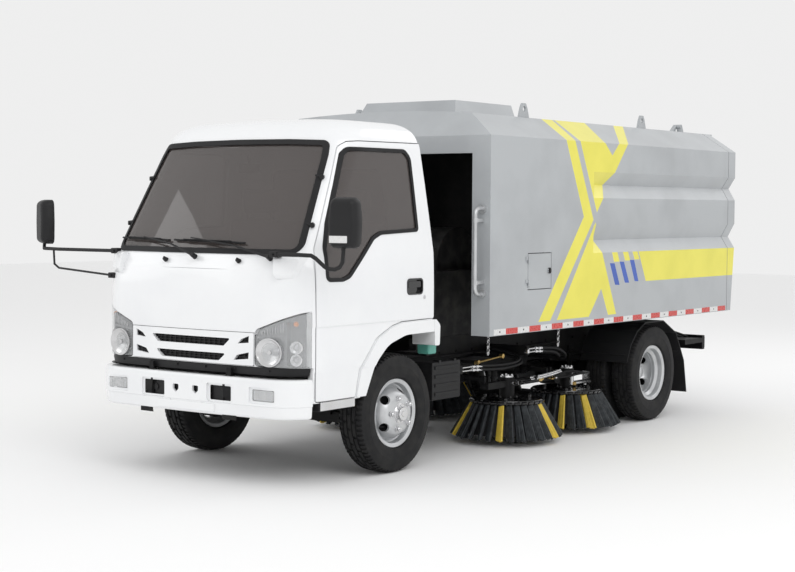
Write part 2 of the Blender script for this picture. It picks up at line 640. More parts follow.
def wheelDisc(facing, holeTurn, bore):
    # a pressed disc that bulges along +x, its hand holes cut and their rims softened
    face = wheelSizes["discFace"]
    outer = [(0.006, 0.1715), (0.014, 0.174), (0.024, 0.173), (0.04, 0.169), (0.058, 0.163), (0.076, 0.155),
             (0.092, 0.145), (0.104, 0.134), (0.112, 0.122), (face, 0.108), (face, bore)]
    inner = [(face - 0.009, bore), (face - 0.009, 0.105), (0.103, 0.118), (0.096, 0.129), (0.084, 0.139),
             (0.069, 0.148), (0.052, 0.155), (0.036, 0.16), (0.022, 0.162), (0.006, 0.16)]
    disc = bmesh.new()
    addTurned(disc, outer + inner + outer[:1], (0, 0, 0), (1, 0, 0), 96)
    bmesh.ops.recalc_face_normals(disc, faces=disc.faces)
    tools = []
    for step in range(wheelSizes["handHoles"]):
        turn = radians(holeTurn + 360 / wheelSizes["handHoles"] * step)
        tool = bmesh.new()
        verts = addRod(tool, (0.03, 0, 0), (0.16, 0, 0), 0.018, 28)
        bmesh.ops.scale(tool, vec=(1, 1, 1.8), verts=verts)
        bmesh.ops.translate(tool, vec=(0, wheelSizes["holeRadius"], 0), verts=tool.verts)
        bmesh.ops.rotate(tool, cent=(0, 0, 0), matrix=Matrix.Rotation(turn, 3, "X"), verts=tool.verts)
        tools.append(tool)
    return onSide(cutSolid(disc, tools), facing)


def addNuts(bm, x, y, z, turn):
    # washer, nut, its round top and the stud's end, for each nut of a wheel
    for step in range(wheelSizes["nuts"]):
        angle = radians(turn + 360 / wheelSizes["nuts"] * step)
        place = Vector((x, y + wheelSizes["nutRadius"] * cos(angle),
                        z + wheelSizes["nutRadius"] * sin(angle)))
        axis = Vector((1, 0, 0))
        addRod(bm, place, place + axis * 0.005, 0.019, 24)
        addRod(bm, place + axis * 0.003, place + axis * 0.021, 0.0155, 6)
        addRod(bm, place + axis * 0.02, place + axis * 0.026, 0.0135, 16, 0.009)
        addRod(bm, place + axis * 0.02, place + axis * 0.032, 0.0075, 14)


def makeFrontWheel(name, side):
    centre = Vector((side * wheelSizes["frontX"], 0.0, wheelSizes["tyreRadius"]))
    body = bodyOf["tyre_front_" + name]
    face = wheelSizes["discFace"]

    def placed(bm):
        bmesh.ops.translate(bm, vec=centre, verts=bm.verts)
        return bm

    tyre = bmesh.new()
    makeTyre(tyre, centre)
    finishPiece("frontTyre" + name.title(), tyre, "tyreRubber", body, ("tyre_front_" + name,), sharp=40)
    rim = joined([rimRing(), wheelDisc(1, wheelSizes["frontHole"], wheelSizes["frontBore"])])
    finishPiece("frontRim" + name.title(), placed(onSide(rim, side)), "wheelSilver", body,
                ("rim_front_" + name,), sharp=40)
    hub = bmesh.new()
    addTurned(hub, [(face - 0.012, 0.0), (face - 0.012, 0.062), (face + 0.004, 0.062), (face + 0.006, 0.06),
                    (face + 0.006, 0.046), (face + 0.024, 0.044), (face + 0.028, 0.041), (face + 0.028, 0.02),
                    (face + 0.033, 0.018), (face + 0.033, 0.0)], (0, 0, 0), (1, 0, 0), 48)
    for step in range(8):
        angle = 2 * pi * step / 8
        addRod(hub, (face + 0.005, 0.053 * cos(angle), 0.053 * sin(angle)),
               (face + 0.012, 0.053 * cos(angle), 0.053 * sin(angle)), 0.005, 6)
    addNuts(hub, face, 0, 0, wheelSizes["frontHole"] + 36)
    addRod(hub, (face - 0.002, 0, 0), (face + 0.001, 0, 0), 0.07, 64, 0.066)
    finishPiece("frontHub" + name.title(), placed(onSide(hub, side)), "brightSteel", body,
                slot="wheel_silver")
    # brake drum and its backing behind the disc
    drum = bmesh.new()
    addTurned(drum, [(-0.04, 0.034), (-0.04, 0.142), (-0.034, 0.146), (0.024, 0.146), (0.024, 0.132),
                     (0.03, 0.128), (0.03, 0.066), (0.1, 0.06), (0.1, 0.034)], (0, 0, 0), (1, 0, 0), 72)
    finishPiece("frontDrum" + name.title(), placed(onSide(drum, side)), "castMetal", body, slot="cast_metal")
    valve = bmesh.new()
    turn = radians(205)
    addRod(valve, (side * 0.075, 0.178 * cos(turn), 0.178 * sin(turn)),
           (side * 0.1, 0.168 * cos(turn), 0.168 * sin(turn)), 0.004, 10)
    finishPiece("frontValve" + name.title(), placed(valve), "blackPlastic", body, slot="tyre")


def makeRearWheels(name, side):
    body = bodyOf["tyres_rear_" + name]
    hubZ = wheelSizes["tyreRadius"]
    tyres = bmesh.new()
    for x in (wheelSizes["outerX"], wheelSizes["innerX"]):
        makeTyre(tyres, (side * x, rearAxleY, hubZ))
    finishPiece("rearTyres" + name.title(), tyres, "tyreRubber", body, ("tyres_rear_" + name,), sharp=40)
    # the outer disc bulges inwards and the inner one outwards, so that they meet
    rims = []
    for x, facing in ((wheelSizes["outerX"], -1), (wheelSizes["innerX"], 1)):
        rim = joined([rimRing(), wheelDisc(facing, wheelSizes["rearHole"], wheelSizes["rearBore"])])
        bmesh.ops.translate(rim, vec=(x, rearAxleY, hubZ), verts=rim.verts)
        rims.append(rim)
    finishPiece("rearRims" + name.title(), onSide(joined(rims), side), "wheelSilver", body,
                ("rims_rear_" + name,), sharp=40)
    hub = bmesh.new()
    face = wheelSizes["innerX"] + wheelSizes["discFace"]
    addTurned(hub, [(face - 0.02, 0.0), (face - 0.02, 0.1), (face + 0.012, 0.1), (face + 0.016, 0.096),
                    (face + 0.02, 0.07), (face + 0.06, 0.062), (face + 0.085, 0.058), (face + 0.09, 0.05),
                    (face + 0.096, 0.03), (face + 0.096, 0.0)], (0, rearAxleY, hubZ), (1, 0, 0), 64)
    for step in range(8):
        angle = 2 * pi * step / 8
        addBolt(hub, (face + 0.088, rearAxleY + 0.046 * cos(angle), hubZ + 0.046 * sin(angle)), (1, 0, 0),
                0.012, 0.008)
    addNuts(hub, face - 0.002, rearAxleY, hubZ, wheelSizes["frontHole"])
    finishPiece("rearHub" + name.title(), onSide(hub, side), "wheelSilver", body, slot="wheel_silver")
    drum = bmesh.new()
    addTurned(drum, [(0.565, 0.062), (0.565, 0.146), (0.571, 0.15), (0.66, 0.15), (0.73, 0.122),
                     (0.732, 0.062)],
              (0, rearAxleY, hubZ), (1, 0, 0), 72)
    finishPiece("rearDrum" + name.title(), onSide(drum, side), "castMetal", body, slot="cast_metal")


for sideName, sideSign in bothSides:
    makeFrontWheel(sideName, sideSign)
    makeRearWheels(sideName, sideSign)
print("wheels made")


# cab: one closed form, from which the shell, doors, glass and seals are cut
cabSizes = {"wall": 0.03, "doorWall": 0.045, "doorGap": 0.0055, "pocketGap": 0.008, "glassDepth": 0.006,
            "glassThick": 0.005, "screenDepth": 0.004, "screenThick": 0.005, "roofSteps": 5, "seamX": 0.635,
            "seamZ": 1.3195, "seamHalf": 0.0015, "hingeX": 0.838, "hingeY": -0.828, "scoopRadius": 0.0215,
            "lampBack": -0.842}
# height, half width, front at the middle, how far the corner lies behind it, corner's x, rear
cabRows = [
    (0.52, 0.862, -1.0, 0.022, 0.63, 0.4),
    (0.7, 0.864, -1.003, 0.024, 0.635, 0.4),
    (0.716, 0.869, -1.006, 0.026, 0.64, 0.4),
    (0.972, 0.87, -1.006, 0.03, 0.648, 0.4),
    (0.99, 0.8755, -1.006, 0.031, 0.65, 0.4),
    (1.18, 0.875, -0.998, 0.035, 0.655, 0.4),
    (1.315, 0.872, -0.985, 0.045, 0.67, 0.4),
    (1.345, 0.871, -0.976, 0.05, 0.676, 0.4),
    (1.405, 0.868, -0.958, 0.058, 0.686, 0.4),
    (1.425, 0.866, -0.948, 0.06, 0.69, 0.4),
    (1.645, 0.846, -0.82, 0.052, 0.664, 0.377),
    (1.865, 0.824, -0.69, 0.044, 0.638, 0.353),
    (2.085, 0.8, -0.558, 0.036, 0.61, 0.33),
]
roofRows = [
    (2.085, 0.8, -0.558, 0.036, 0.61, 0.33),
    (2.15, 0.783, -0.517, 0.033, 0.6, 0.322),
    (2.205, 0.742, -0.46, 0.03, 0.565, 0.3),
    (2.245, 0.66, -0.375, 0.026, 0.5, 0.255),
    (2.263, 0.5, -0.26, 0.022, 0.37, 0.17),
    (2.271, 0.34, -0.2, 0.021, 0.26, 0.12),
]
doorOutline = [(-0.82, 0.525), (-0.438, 0.525), (-0.398, 0.7), (-0.232, 0.88), (-0.07, 0.948), (0.03, 0.968),
               (0.385, 0.974), (0.388, 1.42), (0.318, 2.123), (-0.33, 2.118), (-0.415, 2.112), (-0.47, 2.08),
               (-0.8, 1.445), (-0.82, 1.34)]
doorCorners = [0.02, 0.02, 0.08, 0.1, 0.12, 0.12, 0.012, 0.2, 0.012, 0.1, 0.04, 0.06, 0.12, 0.1]
archOutline = [(-0.4, 0.4), (-0.394, 0.52), (-0.342, 0.64), (-0.28, 0.725), (-0.15, 0.828), (0.0, 0.876),
               (0.09, 0.885), (0.5, 0.886), (0.5, 0.4)]
archCorners = [0.0, 0.1, 0.1, 0.1, 0.1, 0.1, 0.1, 0.0, 0.0]
screenOutline = [(-0.758, 1.434), (0.758, 1.434), (0.69, 2.02), (0.672, 2.096), (0.4, 2.106), (0.0, 2.11),
                 (-0.4, 2.106), (-0.672, 2.096), (-0.69, 2.02)]
screenCorners = [0.05, 0.05, 0.2, 0.035, 0.3, 0.3, 0.3, 0.035, 0.2]
rearWindowOutline = [(-0.52, 1.48), (0.52, 1.48), (0.48, 1.96), (-0.48, 1.96)]
windowOutline = [(-0.73, 1.262), (-0.58, 1.26), (-0.515, 1.278), (-0.258, 1.512), (-0.178, 1.542),
                 (0.217, 1.558), (0.19, 2.02), (0.14, 2.066), (-0.425, 2.064), (-0.466, 2.03), (-0.68, 1.604),
                 (-0.738, 1.45)]
windowCorners = [0.03, 0.08, 0.08, 0.1, 0.1, 0.016, 0.06, 0.06, 0.05, 0.05, 0.3, 0.15]
lampOutline = [(0.52, 0.742), (0.9, 0.728), (0.9, 1.09), (0.8, 1.062), (0.532, 0.962), (0.52, 0.94)]
grilleOutline = [(-0.513, 0.742), (0.513, 0.742), (0.513, 0.94), (-0.513, 0.94)]


def smoothRow(rows, at):
    # a curve through all the rows, read at a fraction of its length
    step = min(int(at), len(rows) - 2)
    near = at - step
    p0, p1, p2, p3 = (rows[max(0, min(len(rows) - 1, step + k))] for k in (-1, 0, 1, 2))
    return tuple(0.5 * (2 * b + (c - a) * near + (2 * a - 5 * b + 4 * c - d) * near ** 2
                        + (3 * b - a - 3 * c + d) * near ** 3) for a, b, c, d in zip(p0, p1, p2, p3))


def planOutline(row, inset):
    # straight sides and back, round corners, and a front that bows forward
    half, front, sag, cornerX, rear = row[1:]
    half, front, rear, cornerX = half - inset, front + inset, rear - inset, cornerX - 0.5 * inset
    bow = (cornerX ** 2 + sag ** 2) / (2 * sag)
    lean = cornerX / bow
    cornerRadius = (half - cornerX) / (1 - lean)
    start = atan2(lean, sqrt(1 - lean ** 2))
    points = []
    for step in range(-10, 11):
        angle = start * step / 10
        points.append((bow * sin(angle), front + bow - bow * cos(angle)))
    sideY = front + sag + cornerRadius * cos(start)
    corner = []
    for step in range(1, 10):
        angle = start + (pi / 2 - start) * step / 9
        corner.append((half - cornerRadius + cornerRadius * sin(angle), sideY - cornerRadius * cos(angle)))
    rearRadius = min(0.035, half * 0.2)
    for share in (0.2, 0.4, 0.6, 0.8):
        corner.append((half, sideY + (rear - rearRadius - sideY) * share))
    for step in range(6):
        angle = pi / 2 * step / 5
        corner.append((half - rearRadius + rearRadius * cos(angle),
                       rear - rearRadius + rearRadius * sin(angle)))
    back = [(half * share, rear) for share in (0.6, 0.3, 0.0, -0.3, -0.6)]
    return points + corner + back + [(-x, y) for x, y in reversed(corner)]


def cabForm(inset, low=None, tail=0.0):
    # a closed solid of the cab's outside, moved inwards by inset, with its back moved by tail
    bm = bmesh.new()
    rows = list(cabRows[:-1])
    count = cabSizes["roofSteps"]
    for step in range((len(roofRows) - 1) * count + 1):
        rows.append(smoothRow(roofRows, step / count))
    if low is not None:
        rows[0] = (low, *rows[0][1:])
    rings = []
    for row in rows:
        # the roof sinks by the inset too, growing over its first 15 cm
        z = row[0] if row[0] < 2.0 else row[0] - inset * min(1.0, (row[0] - 2.0) / 0.15)
        rings.append([(x, y, z) for x, y in planOutline((*row[:5], row[5] + tail), inset)])
    addSkin(bm, rings)
    bmesh.ops.recalc_face_normals(bm, faces=bm.faces)
    return bm


def cabPatch(proud, depth, tool, tail=0.0):
    # what lies inside a tool, between the cab's outside moved outwards by proud and inwards by depth
    return cutSolid(cutSolid(cabForm(-proud, tail=tail), [tool], "INTERSECT"),
                    [cabForm(depth, 0.4, 3 * tail)])


def prismTool(outline, along, low, high):
    tool = bmesh.new()
    addPrism(tool, outline, along, low, high)
    bmesh.ops.recalc_face_normals(tool, faces=tool.faces)
    return tool


def frontTool(outline, back=-0.8):
    return prismTool(outline, "y", -1.2, back)


def sideTool(outline, side=1, near=0.5):
    return prismTool(outline, "x", side * near, side * 1.0)


def ringTool(outline, inner, along, low, high):
    return cutSolid(prismTool(outline, along, low, high), [prismTool(inner, along, low - 0.01, high + 0.01)])


def sealTool(opening, lap, along, low, high):
    # a frame that laps over an opening's edge by lap and reaches 12 mm into it
    return ringTool(offsetOutline(opening, -lap), offsetOutline(opening, 0.012), along, low, high)


def blockTool(*places):
    tool = bmesh.new()
    addBlock(tool, *places)
    return tool


roundDoor = roundedOutline(doorOutline, doorCorners)
roundWindow = roundedOutline(windowOutline, windowCorners)
roundScreen = roundedOutline(screenOutline, screenCorners, 8)
roundRearWindow = roundedOutline(rearWindowOutline, 0.06, 8)
roundLamp = roundedOutline(lampOutline, [0.02, 0.0, 0.0, 0.05, 0.03, 0.01])
roundArch = roundedOutline(archOutline, archCorners)


def makeCabShell():
    # openings under the front, for the frame and engine, the screens, the grille, doors, wheels and lamps
    tools = [blockTool(-1, 1, -1.2, -0.83, 0.3, 0.737), blockTool(-0.406, 0.406, -0.48, 0.6, 0.3, 0.885),
             frontTool(roundScreen, -0.35), prismTool(roundRearWindow, "y", 0.2, 0.6),
             frontTool(offsetOutline(grilleOutline, -0.003))]
    seamX, seamZ, seamHalf = cabSizes["seamX"], cabSizes["seamZ"], cabSizes["seamHalf"]
    for side in (-1, 1):
        tools.append(cabPatch(0.01, cabSizes["doorWall"] + cabSizes["pocketGap"],
                              sideTool(roundDoor, side, 0.56),
                              0.1))
        tools.append(sideTool(roundArch, side, 0.406))
        lampHole = [(side * x, z) for x, z in offsetOutline(roundLamp, -0.003)]
        tools.append(frontTool(lampHole, cabSizes["lampBack"]))
        # the seams of the front panel
        tools.append(blockTool(side * (seamX - seamHalf), side * (seamX + seamHalf), -1.1, -0.985, 0.99,
                               1.32))
    tools.append(blockTool(-0.636, 0.636, -1.1, -0.975, seamZ - seamHalf, seamZ + seamHalf))
    shell = cutSolid(cutSolid(cabForm(0.0), [cabForm(cabSizes["wall"], 0.4)]), tools)
    bmesh.ops.dissolve_degenerate(shell, dist=mergeReach, edges=shell.edges)
    finishPiece("cabShell", shell, "cabPaint", "cab", ("cab_shell",), sharp=32, keepNormals=True)
    # the pivot ears under the front
    ears = nodeCopy("cab_shell")
    drop = [f for f in ears.faces if f.calc_center_median().z > 0.7 or abs(f.calc_center_median().x) > 0.36]
    bmesh.ops.delete(ears, geom=drop, context="FACES")
    finishPiece("cabEars", ears, "framePaint", "cab", slot=slotOf["cab_shell"], keepNormals=True)


handleSizes = {"front": 0.084, "rear": 0.253, "low": 1.143, "high": 1.242, "floor": 0.852, "face": 0.8775,
               "corner": 0.025}


def handleOutline(grow):
    # the recess of the door handle, each side moved outwards by grow
    front, rear = handleSizes["front"] - grow, handleSizes["rear"] + grow
    low, high = handleSizes["low"] - grow, handleSizes["high"] + grow
    return [(front, low), (rear, low), (rear, high), (front, high)]


def makeDoor(name, side):
    body = bodyOf["door_" + name]

    def doorPiece(title, bm, finish, replaced=(), slot=None, sharp=32, keepNormals=True):
        finishPiece(title + name.title(), onSide(bm, side), finish, body, replaced, slot, sharp, keepNormals)

    door = cabPatch(0.0, cabSizes["doorWall"],
                    sideTool(offsetOutline(roundDoor, cabSizes["doorGap"]), 1, 0.56), 0.1)
    # the front edge is hollowed about the hinge line, so that it turns clear of the pillar
    scoop = bmesh.new()
    addRod(scoop, (cabSizes["hingeX"], cabSizes["hingeY"], 0.5),
           (cabSizes["hingeX"], cabSizes["hingeY"], 1.4),
           cabSizes["scoopRadius"], 24)
    recess = sideTool(roundedOutline(handleOutline(0.0), handleSizes["corner"]), 1, 0.85)
    door = cutSolid(door, [sideTool(roundWindow), recess, scoop])
    doorPiece("door", door, "cabPaint", ("door_" + name,))
    glass = cabPatch(-cabSizes["glassDepth"], cabSizes["glassDepth"] + cabSizes["glassThick"],
                     sideTool(offsetOutline(roundWindow, 0.001)))
    doorPiece("doorGlass", glass, "cabGlass", ("door_glass_" + name,), sharp=40)
    seal = cabPatch(0.0035, 0.016, sealTool(roundWindow, 0.012, "x", 0.5, 1.0))
    doorPiece("windowSeal", seal, "rubberSeal", slot="black_plastic")
    # recessed handle: its frame, the dish's floor and the flap in it, with the lock beside it
    floor, face = handleSizes["floor"], handleSizes["face"]
    rim = ringTool(roundedOutline(handleOutline(0.004), 0.028), roundedOutline(handleOutline(-0.006), 0.022),
                   "x", floor, face + 0.001)
    dish = prismTool(roundedOutline(handleOutline(-0.001), handleSizes["corner"]), "x", floor - 0.004,
                     floor + 0.004)
    flap = bmesh.new()
    addPrism(flap, roundedOutline([(0.1, 1.186), (0.237, 1.186), (0.237, 1.226), (0.1, 1.226)], 0.012), "x",
             floor + 0.004, face - 0.004)
    handle = joined([rim, dish, flap])
    softenEdges(handle, 0.0015)
    doorPiece("doorHandle", handle, "glossBlack", slot="black_plastic", keepNormals=False)
    # the raised line along the door above the wheel
    ridge = [(-0.808, 0.978), (0.38, 0.978), (0.38, 0.983), (-0.808, 0.983)]
    doorPiece("doorCrease", cabPatch(0.0025, 0.004, sideTool(ridge)), "cabPaint", slot="cab_paint", sharp=35)
    lock = bmesh.new()
    addRod(lock, (side * 0.872, 0.273, 1.12), (side * 0.8785, 0.273, 1.12), 0.013, 24)
    addBlock(lock, side * 0.878, side * 0.8795, 0.2715, 0.2745, 1.113, 1.127)
    finishPiece("doorLock" + name.title(), lock, "brightSteel", body, slot="black_plastic")


def makeScreens():
    depth = cabSizes["screenDepth"]
    through = (-depth, depth + cabSizes["screenThick"])
    front = cabPatch(*through, frontTool(offsetOutline(roundScreen, 0.001), -0.35))
    rear = cabPatch(*through, prismTool(offsetOutline(roundRearWindow, 0.001), "y", 0.2, 0.6))
    finishPiece("cabScreens", joined([front, rear]), "cabGlass", "cab", ("cab_glass",), sharp=40,
                keepNormals=True)
    front = cabPatch(0.006, 0.014, sealTool(roundScreen, 0.021, "y", -1.2, -0.35))
    rear = cabPatch(0.006, 0.014, sealTool(roundRearWindow, 0.018, "y", 0.2, 0.6))
    finishPiece("screenSeals", joined([front, rear]), "rubberSeal", "cab", slot="black_plastic", sharp=32,
                keepNormals=True)


def makeArches():
    # a raised lip over each front wheel, and the black liner inside it
    shape = [(-0.436, 0.528), (-0.392, 0.7), (-0.228, 0.878), (-0.07, 0.944), (0.03, 0.964), (0.4, 0.968),
             (0.4, 0.888), (0.07, 0.885), (-0.12, 0.834), (-0.25, 0.724), (-0.33, 0.56), (-0.345, 0.528)]
    corners = [0.006, 0.08, 0.1, 0.12, 0.12, 0.0, 0.0, 0.3, 0.25, 0.25, 0.2, 0.006]
    lips = []
    for side in (-1, 1):
        lip = cabPatch(0.011, 0.02, sideTool(roundedOutline(shape, corners), side, 0.56))
        addPrism(lip, roundedOutline([(0.385, 0.795), (0.44, 0.795), (0.446, 0.93), (0.4, 0.968),
                                      (0.385, 0.968)],
                                     [0.012, 0.012, 0.03, 0.01, 0.0]), "x", side * 0.70, side * 0.884)
        softenEdges(lip, 0.005, lambda e: e.calc_length() > 0.004)
        lips.append(lip)
    finishPiece("archLips", joined(lips), "cabPaint", "cab", slot="cab_paint", sharp=40)
    liner = bmesh.new()
    high = [(-0.27, 0.722), (-0.13, 0.842), (0.07, 0.893), (0.39, 0.897)]
    low = [(-0.362, 0.54), (-0.27, 0.722)]
    for side in (-1, 1):
        for line, start in ((high, 0.41), (low, 0.8)):
            upper = [(y, z + 0.006) for y, z in reversed(line)]
            addPrism(liner, line + upper, "x", side * start, side * 0.862)
    finishPiece("archLiners", liner, "blackPlastic", "cab", slot="black_plastic")


def slotShape(half, z0, z1, lean=0.055):
    return roundedOutline([(-half, z1), (lean - half, z0), (half - lean, z0), (half, z1)], 0.006, 3)


def makeGrille():
    plate = cabPatch(0.006, 0.02, frontTool(roundedOutline(grilleOutline, 0.008)))
    tools = [frontTool(slotShape(0.335, 0.852, 0.9)), frontTool(slotShape(0.297, 0.76, 0.806))]
    for side in (-1, 1):
        upper = [(side * 0.39, 0.872), (side * 0.42, 0.9), (side * 0.478, 0.922), (side * 0.476, 0.88)]
        lower = [(side * 0.36, 0.77), (side * 0.385, 0.802), (side * 0.478, 0.822), (side * 0.474, 0.782)]
        tools += [frontTool(upper), frontTool(lower)]
    plate = cutSolid(plate, tools)
    softenEdges(plate, 0.003, lambda e: min(v.co.y for v in e.verts) < -0.97)
    finishPiece("grilleFrame", plate, "cabPaint", "cab", ("grille",), sharp=40, keepNormals=True)
    mesh = bmesh.new()
    addBlock(mesh, -0.53, 0.53, -0.975, -0.967, 0.748, 0.932)
    for step in range(26):
        x = -0.52 + step * 0.0416
        addBlock(mesh, x - 0.003, x + 0.003, -0.985, -0.97, 0.75, 0.93)
    for z in (0.774, 0.79, 0.868, 0.884, 0.9):
        addBlock(mesh, -0.52, 0.52, -0.986, -0.972, z - 0.0025, z + 0.0025)
    finishPiece("grilleMesh", mesh, "blackPlastic", "cab", slot="black_plastic")
    strip = cabPatch(-0.01, 0.03, blockTool(-0.862, 0.862, -1.2, -0.84, 0.686, 0.74))
    for x in (-0.62, -0.36, -0.12, 0.12, 0.36, 0.62):
        addBolt(strip, (x, -0.996 + 0.07 * abs(x) ** 2, 0.716), (0, -1, 0), 0.011)
    finishPiece("underGrille", strip, "blackPlastic", "cab", slot="black_plastic", sharp=32)


lampSizes = {"main": (0.628, -0.958, 0.828), "outerX": 0.772, "outerY": -0.9, "turn": (0.765, -0.895, 1.0)}


def makeHeadlights():
    mainX, mainY, mainZ = lampSizes["main"]
    outerX, outerY = lampSizes["outerX"], lampSizes["outerY"]
    turnX, turnY, turnZ = lampSizes["turn"]
    back = cabSizes["lampBack"]
    for name, side in bothSides:
        outline = [(side * x, z) for x, z in offsetOutline(roundLamp, 0.004)]
        shell = cabPatch(-0.03, 0.036, frontTool(outline, back))
        rim = cabPatch(0.001, 0.03, ringTool(outline, offsetOutline(outline, 0.01), "y", -1.2, back))
        # divider between the main bowl and the outer lamps, and the bar over the bowl
        divider = cabPatch(-0.004, 0.03, blockTool(side * 0.722, side * 0.736, -1.2, back, 0.75, 1.01))
        barOutline = [(side * 0.53, 0.908), (side * 0.725, 0.928), (side * 0.725, 0.94), (side * 0.53, 0.92)]
        bar = cabPatch(-0.004, 0.03, frontTool(barOutline, back))
        # both lamps share one node, which the left housing replaces
        finishPiece("lampHousing" + name.title(), joined([shell, rim, divider, bar]), "lampGrey", "cab",
                    ("headlights",) if side > 0 else (), slot="lamp_glass", sharp=32)
        bright = bmesh.new()
        addTurned(bright, [(0.0, 0.0), (0.004, 0.02), (0.012, 0.04), (0.028, 0.066), (0.034, 0.073),
                           (0.037, 0.076), (0.037, 0.082), (0.0, 0.082)], (side * mainX, mainY, mainZ),
                  (side * 0.12, -1, 0), 48)
        bmesh.ops.scale(bright, vec=(1.16, 1.0, 1.06), space=Matrix.Translation((side * -mainX, 0.0, -mainZ)),
                        verts=bright.verts)
        addRod(bright, (side * mainX, mainY, mainZ), (side * (mainX + 0.005), mainY - 0.03, mainZ), 0.017, 24,
               0.012)
        for z, radius in ((0.86, 0.034), (0.785, 0.031)):
            addTurned(bright, [(0.0, 0.0), (0.003, 0.012), (0.014, radius * 0.85), (0.018, radius),
                               (0.018, radius + 0.005), (0.0, radius + 0.005)], (side * outerX, outerY, z),
                      (side * 0.75, -1, 0), 32)
            addRod(bright, (side * outerX, outerY, z), (side * (outerX + 0.008), outerY - 0.013, z), 0.009,
                   16)
        # upright ribs of the slanting reflector above the bar
        for step in range(9):
            x = 0.575 + step * 0.0175
            z = 0.93 + step * 0.0022
            addBlock(bright, side * (x - 0.0022), side * (x + 0.0022), -0.985 + 0.004 * step, -0.955, z,
                     z + 0.022 + step * 0.005)
        finishPiece("lampBowls" + name.title(), bright, "brightSteel", "cab", slot="lamp_glass")
        amber = bmesh.new()
        addRod(amber, (side * turnX, turnY, turnZ), (side * (turnX + 0.01), turnY - 0.014, turnZ), 0.017, 20,
               0.012)
        finishPiece("turnLamps" + name.title(), amber, "lampAmber", "cab", slot="lamp_glass")
        lens = cabPatch(0.001, 0.003, frontTool(outline, back))
        finishPiece("lampLens" + name.title(), lens, "lampLens", "cab", slot="lamp_glass", sharp=32,
                    keepNormals=True)


def onScreen(x, z, out=0.012):
    # a point just outside the windscreen
    share = (z - 1.425) / 0.66
    return (x, -0.948 + 0.39 * share + 0.056 * (x / 0.68) ** 2 - out, z + out * 0.5)


def makeWipers():
    arms = bmesh.new()
    blades = bmesh.new()
    for pivot, elbow, far, bladeEnd in (((0.02, 1.385), (-0.2, 1.448), (-0.5, 1.492), (-0.75, 1.492)),
                                        ((0.6, 1.385), (0.33, 1.445), (-0.06, 1.494), (0.37, 1.476))):
        base = onScreen(*pivot, 0.008)
        addRod(arms, base, onScreen(*pivot, 0.045), 0.017, 20, 0.013)
        addRod(arms, onScreen(*pivot, 0.03), onScreen(*elbow, 0.035), 0.009, 10, 0.006)
        addRod(arms, onScreen(*elbow, 0.035), onScreen(*far, 0.028), 0.006, 10, 0.004)
        # the rubber follows the glass, and a thin bridge joins three posts over it
        x0, z0 = bladeEnd
        x1 = far[0] + (0.24 if x0 < far[0] else -0.16)
        z1 = far[1] - 0.008
        rubber, bridge = ([onScreen(x0 + (x1 - x0) * k / 6, z0 + (z1 - z0) * k / 6, out) for k in range(7)]
                          for out in (0.009, 0.024))
        for first, second in zip(rubber, rubber[1:]):
            addRod(blades, first, second, 0.006, 8)
        for k in (1, 3, 5):
            addRod(blades, rubber[k], bridge[k], 0.004, 8)
        for first, second in ((1, 3), (3, 5)):
            addRod(blades, bridge[first], bridge[second], 0.004, 8)
    finishPiece("wiperArms", arms, "blackPlastic", "cab", slot="black_plastic")
    finishPiece("wiperBlades", blades, "rubberSeal", "cab", slot="black_plastic")
    jets = bmesh.new()
    for x, z in ((-0.24, 1.368), (0.365, 1.372)):
        place = onScreen(x, z, -0.004)
        addRod(jets, place, onScreen(x, z, 0.016), 0.016, 20, 0.012)
        addRod(jets, onScreen(x, z, 0.014), (x, place[1] - 0.018, z + 0.02), 0.006, 10)
    # two lugs on each front pillar
    for side in (-1, 1):
        for x, y, z in ((0.724, -0.599, 1.885), (0.772, -0.75, 1.591)):
            addRod(jets, (side * (x - 0.036), y - 0.02, z + 0.012), (side * (x + 0.006), y - 0.016, z), 0.008,
                   12)
            addRod(jets, (side * (x - 0.012), y + 0.012, z), (side * (x + 0.012), y - 0.022, z), 0.02, 20,
                   0.014)
    finishPiece("washerJets", jets, "blackPlastic", "cab", slot="black_plastic")


makeCabShell()
for sideName, sideSign in bothSides:
    makeDoor(sideName, sideSign)
makeScreens()
makeArches()
makeGrille()
makeHeadlights()
makeWipers()
print("cab made")


# bumper, steps, mirrors and the inside of the cab
bumperSizes = {"low": 0.43, "crease": 0.504, "high": 0.67, "half": 0.866, "front": -1.05, "sag": 0.02,
               "cornerX": 0.646, "end": -0.85, "rear": -0.5, "wall": 0.016, "recessFloor": -1.034}
# x and z ranges of the fog lamp recess and the bracket recess, each with the hole in its floor
bumperRecesses = (((0.512, 0.735, 0.52, 0.618), (0.532, 0.7, 0.535, 0.604)),
                  ((0.176, 0.384, 0.508, 0.622), (0.196, 0.366, 0.52, 0.61)))
fogLampX, fogLampZ = 0.616, 0.57


def bumperForm(inset):
    # a closed solid with rounded lower and upper edges and a crease along its face
    bm = bmesh.new()
    low, crease, high = bumperSizes["low"], bumperSizes["crease"], bumperSizes["high"]
    rings = []
    for z, shrink in ((low, 0.016), (low + 0.006, 0.01), (low + 0.014, 0.007), (crease, 0.004),
                      (crease + 0.003, 0.0), (high - 0.02, 0.0), (high - 0.008, 0.003), (high - 0.002, 0.009),
                      (high, 0.016)):
        row = (z, bumperSizes["half"], bumperSizes["front"], bumperSizes["sag"], bumperSizes["cornerX"],
               bumperSizes["rear"])
        rings.append([(x, y, z) for x, y in planOutline(row, shrink + inset)])
    addSkin(bm, rings)
    bmesh.ops.recalc_face_normals(bm, faces=bm.faces)
    return bm


def frameShape(x0, x1, z0, z1, corner=0.012):
    return roundedOutline([(x0, z0), (x1, z0), (x1, z1), (x0, z1)], corner)


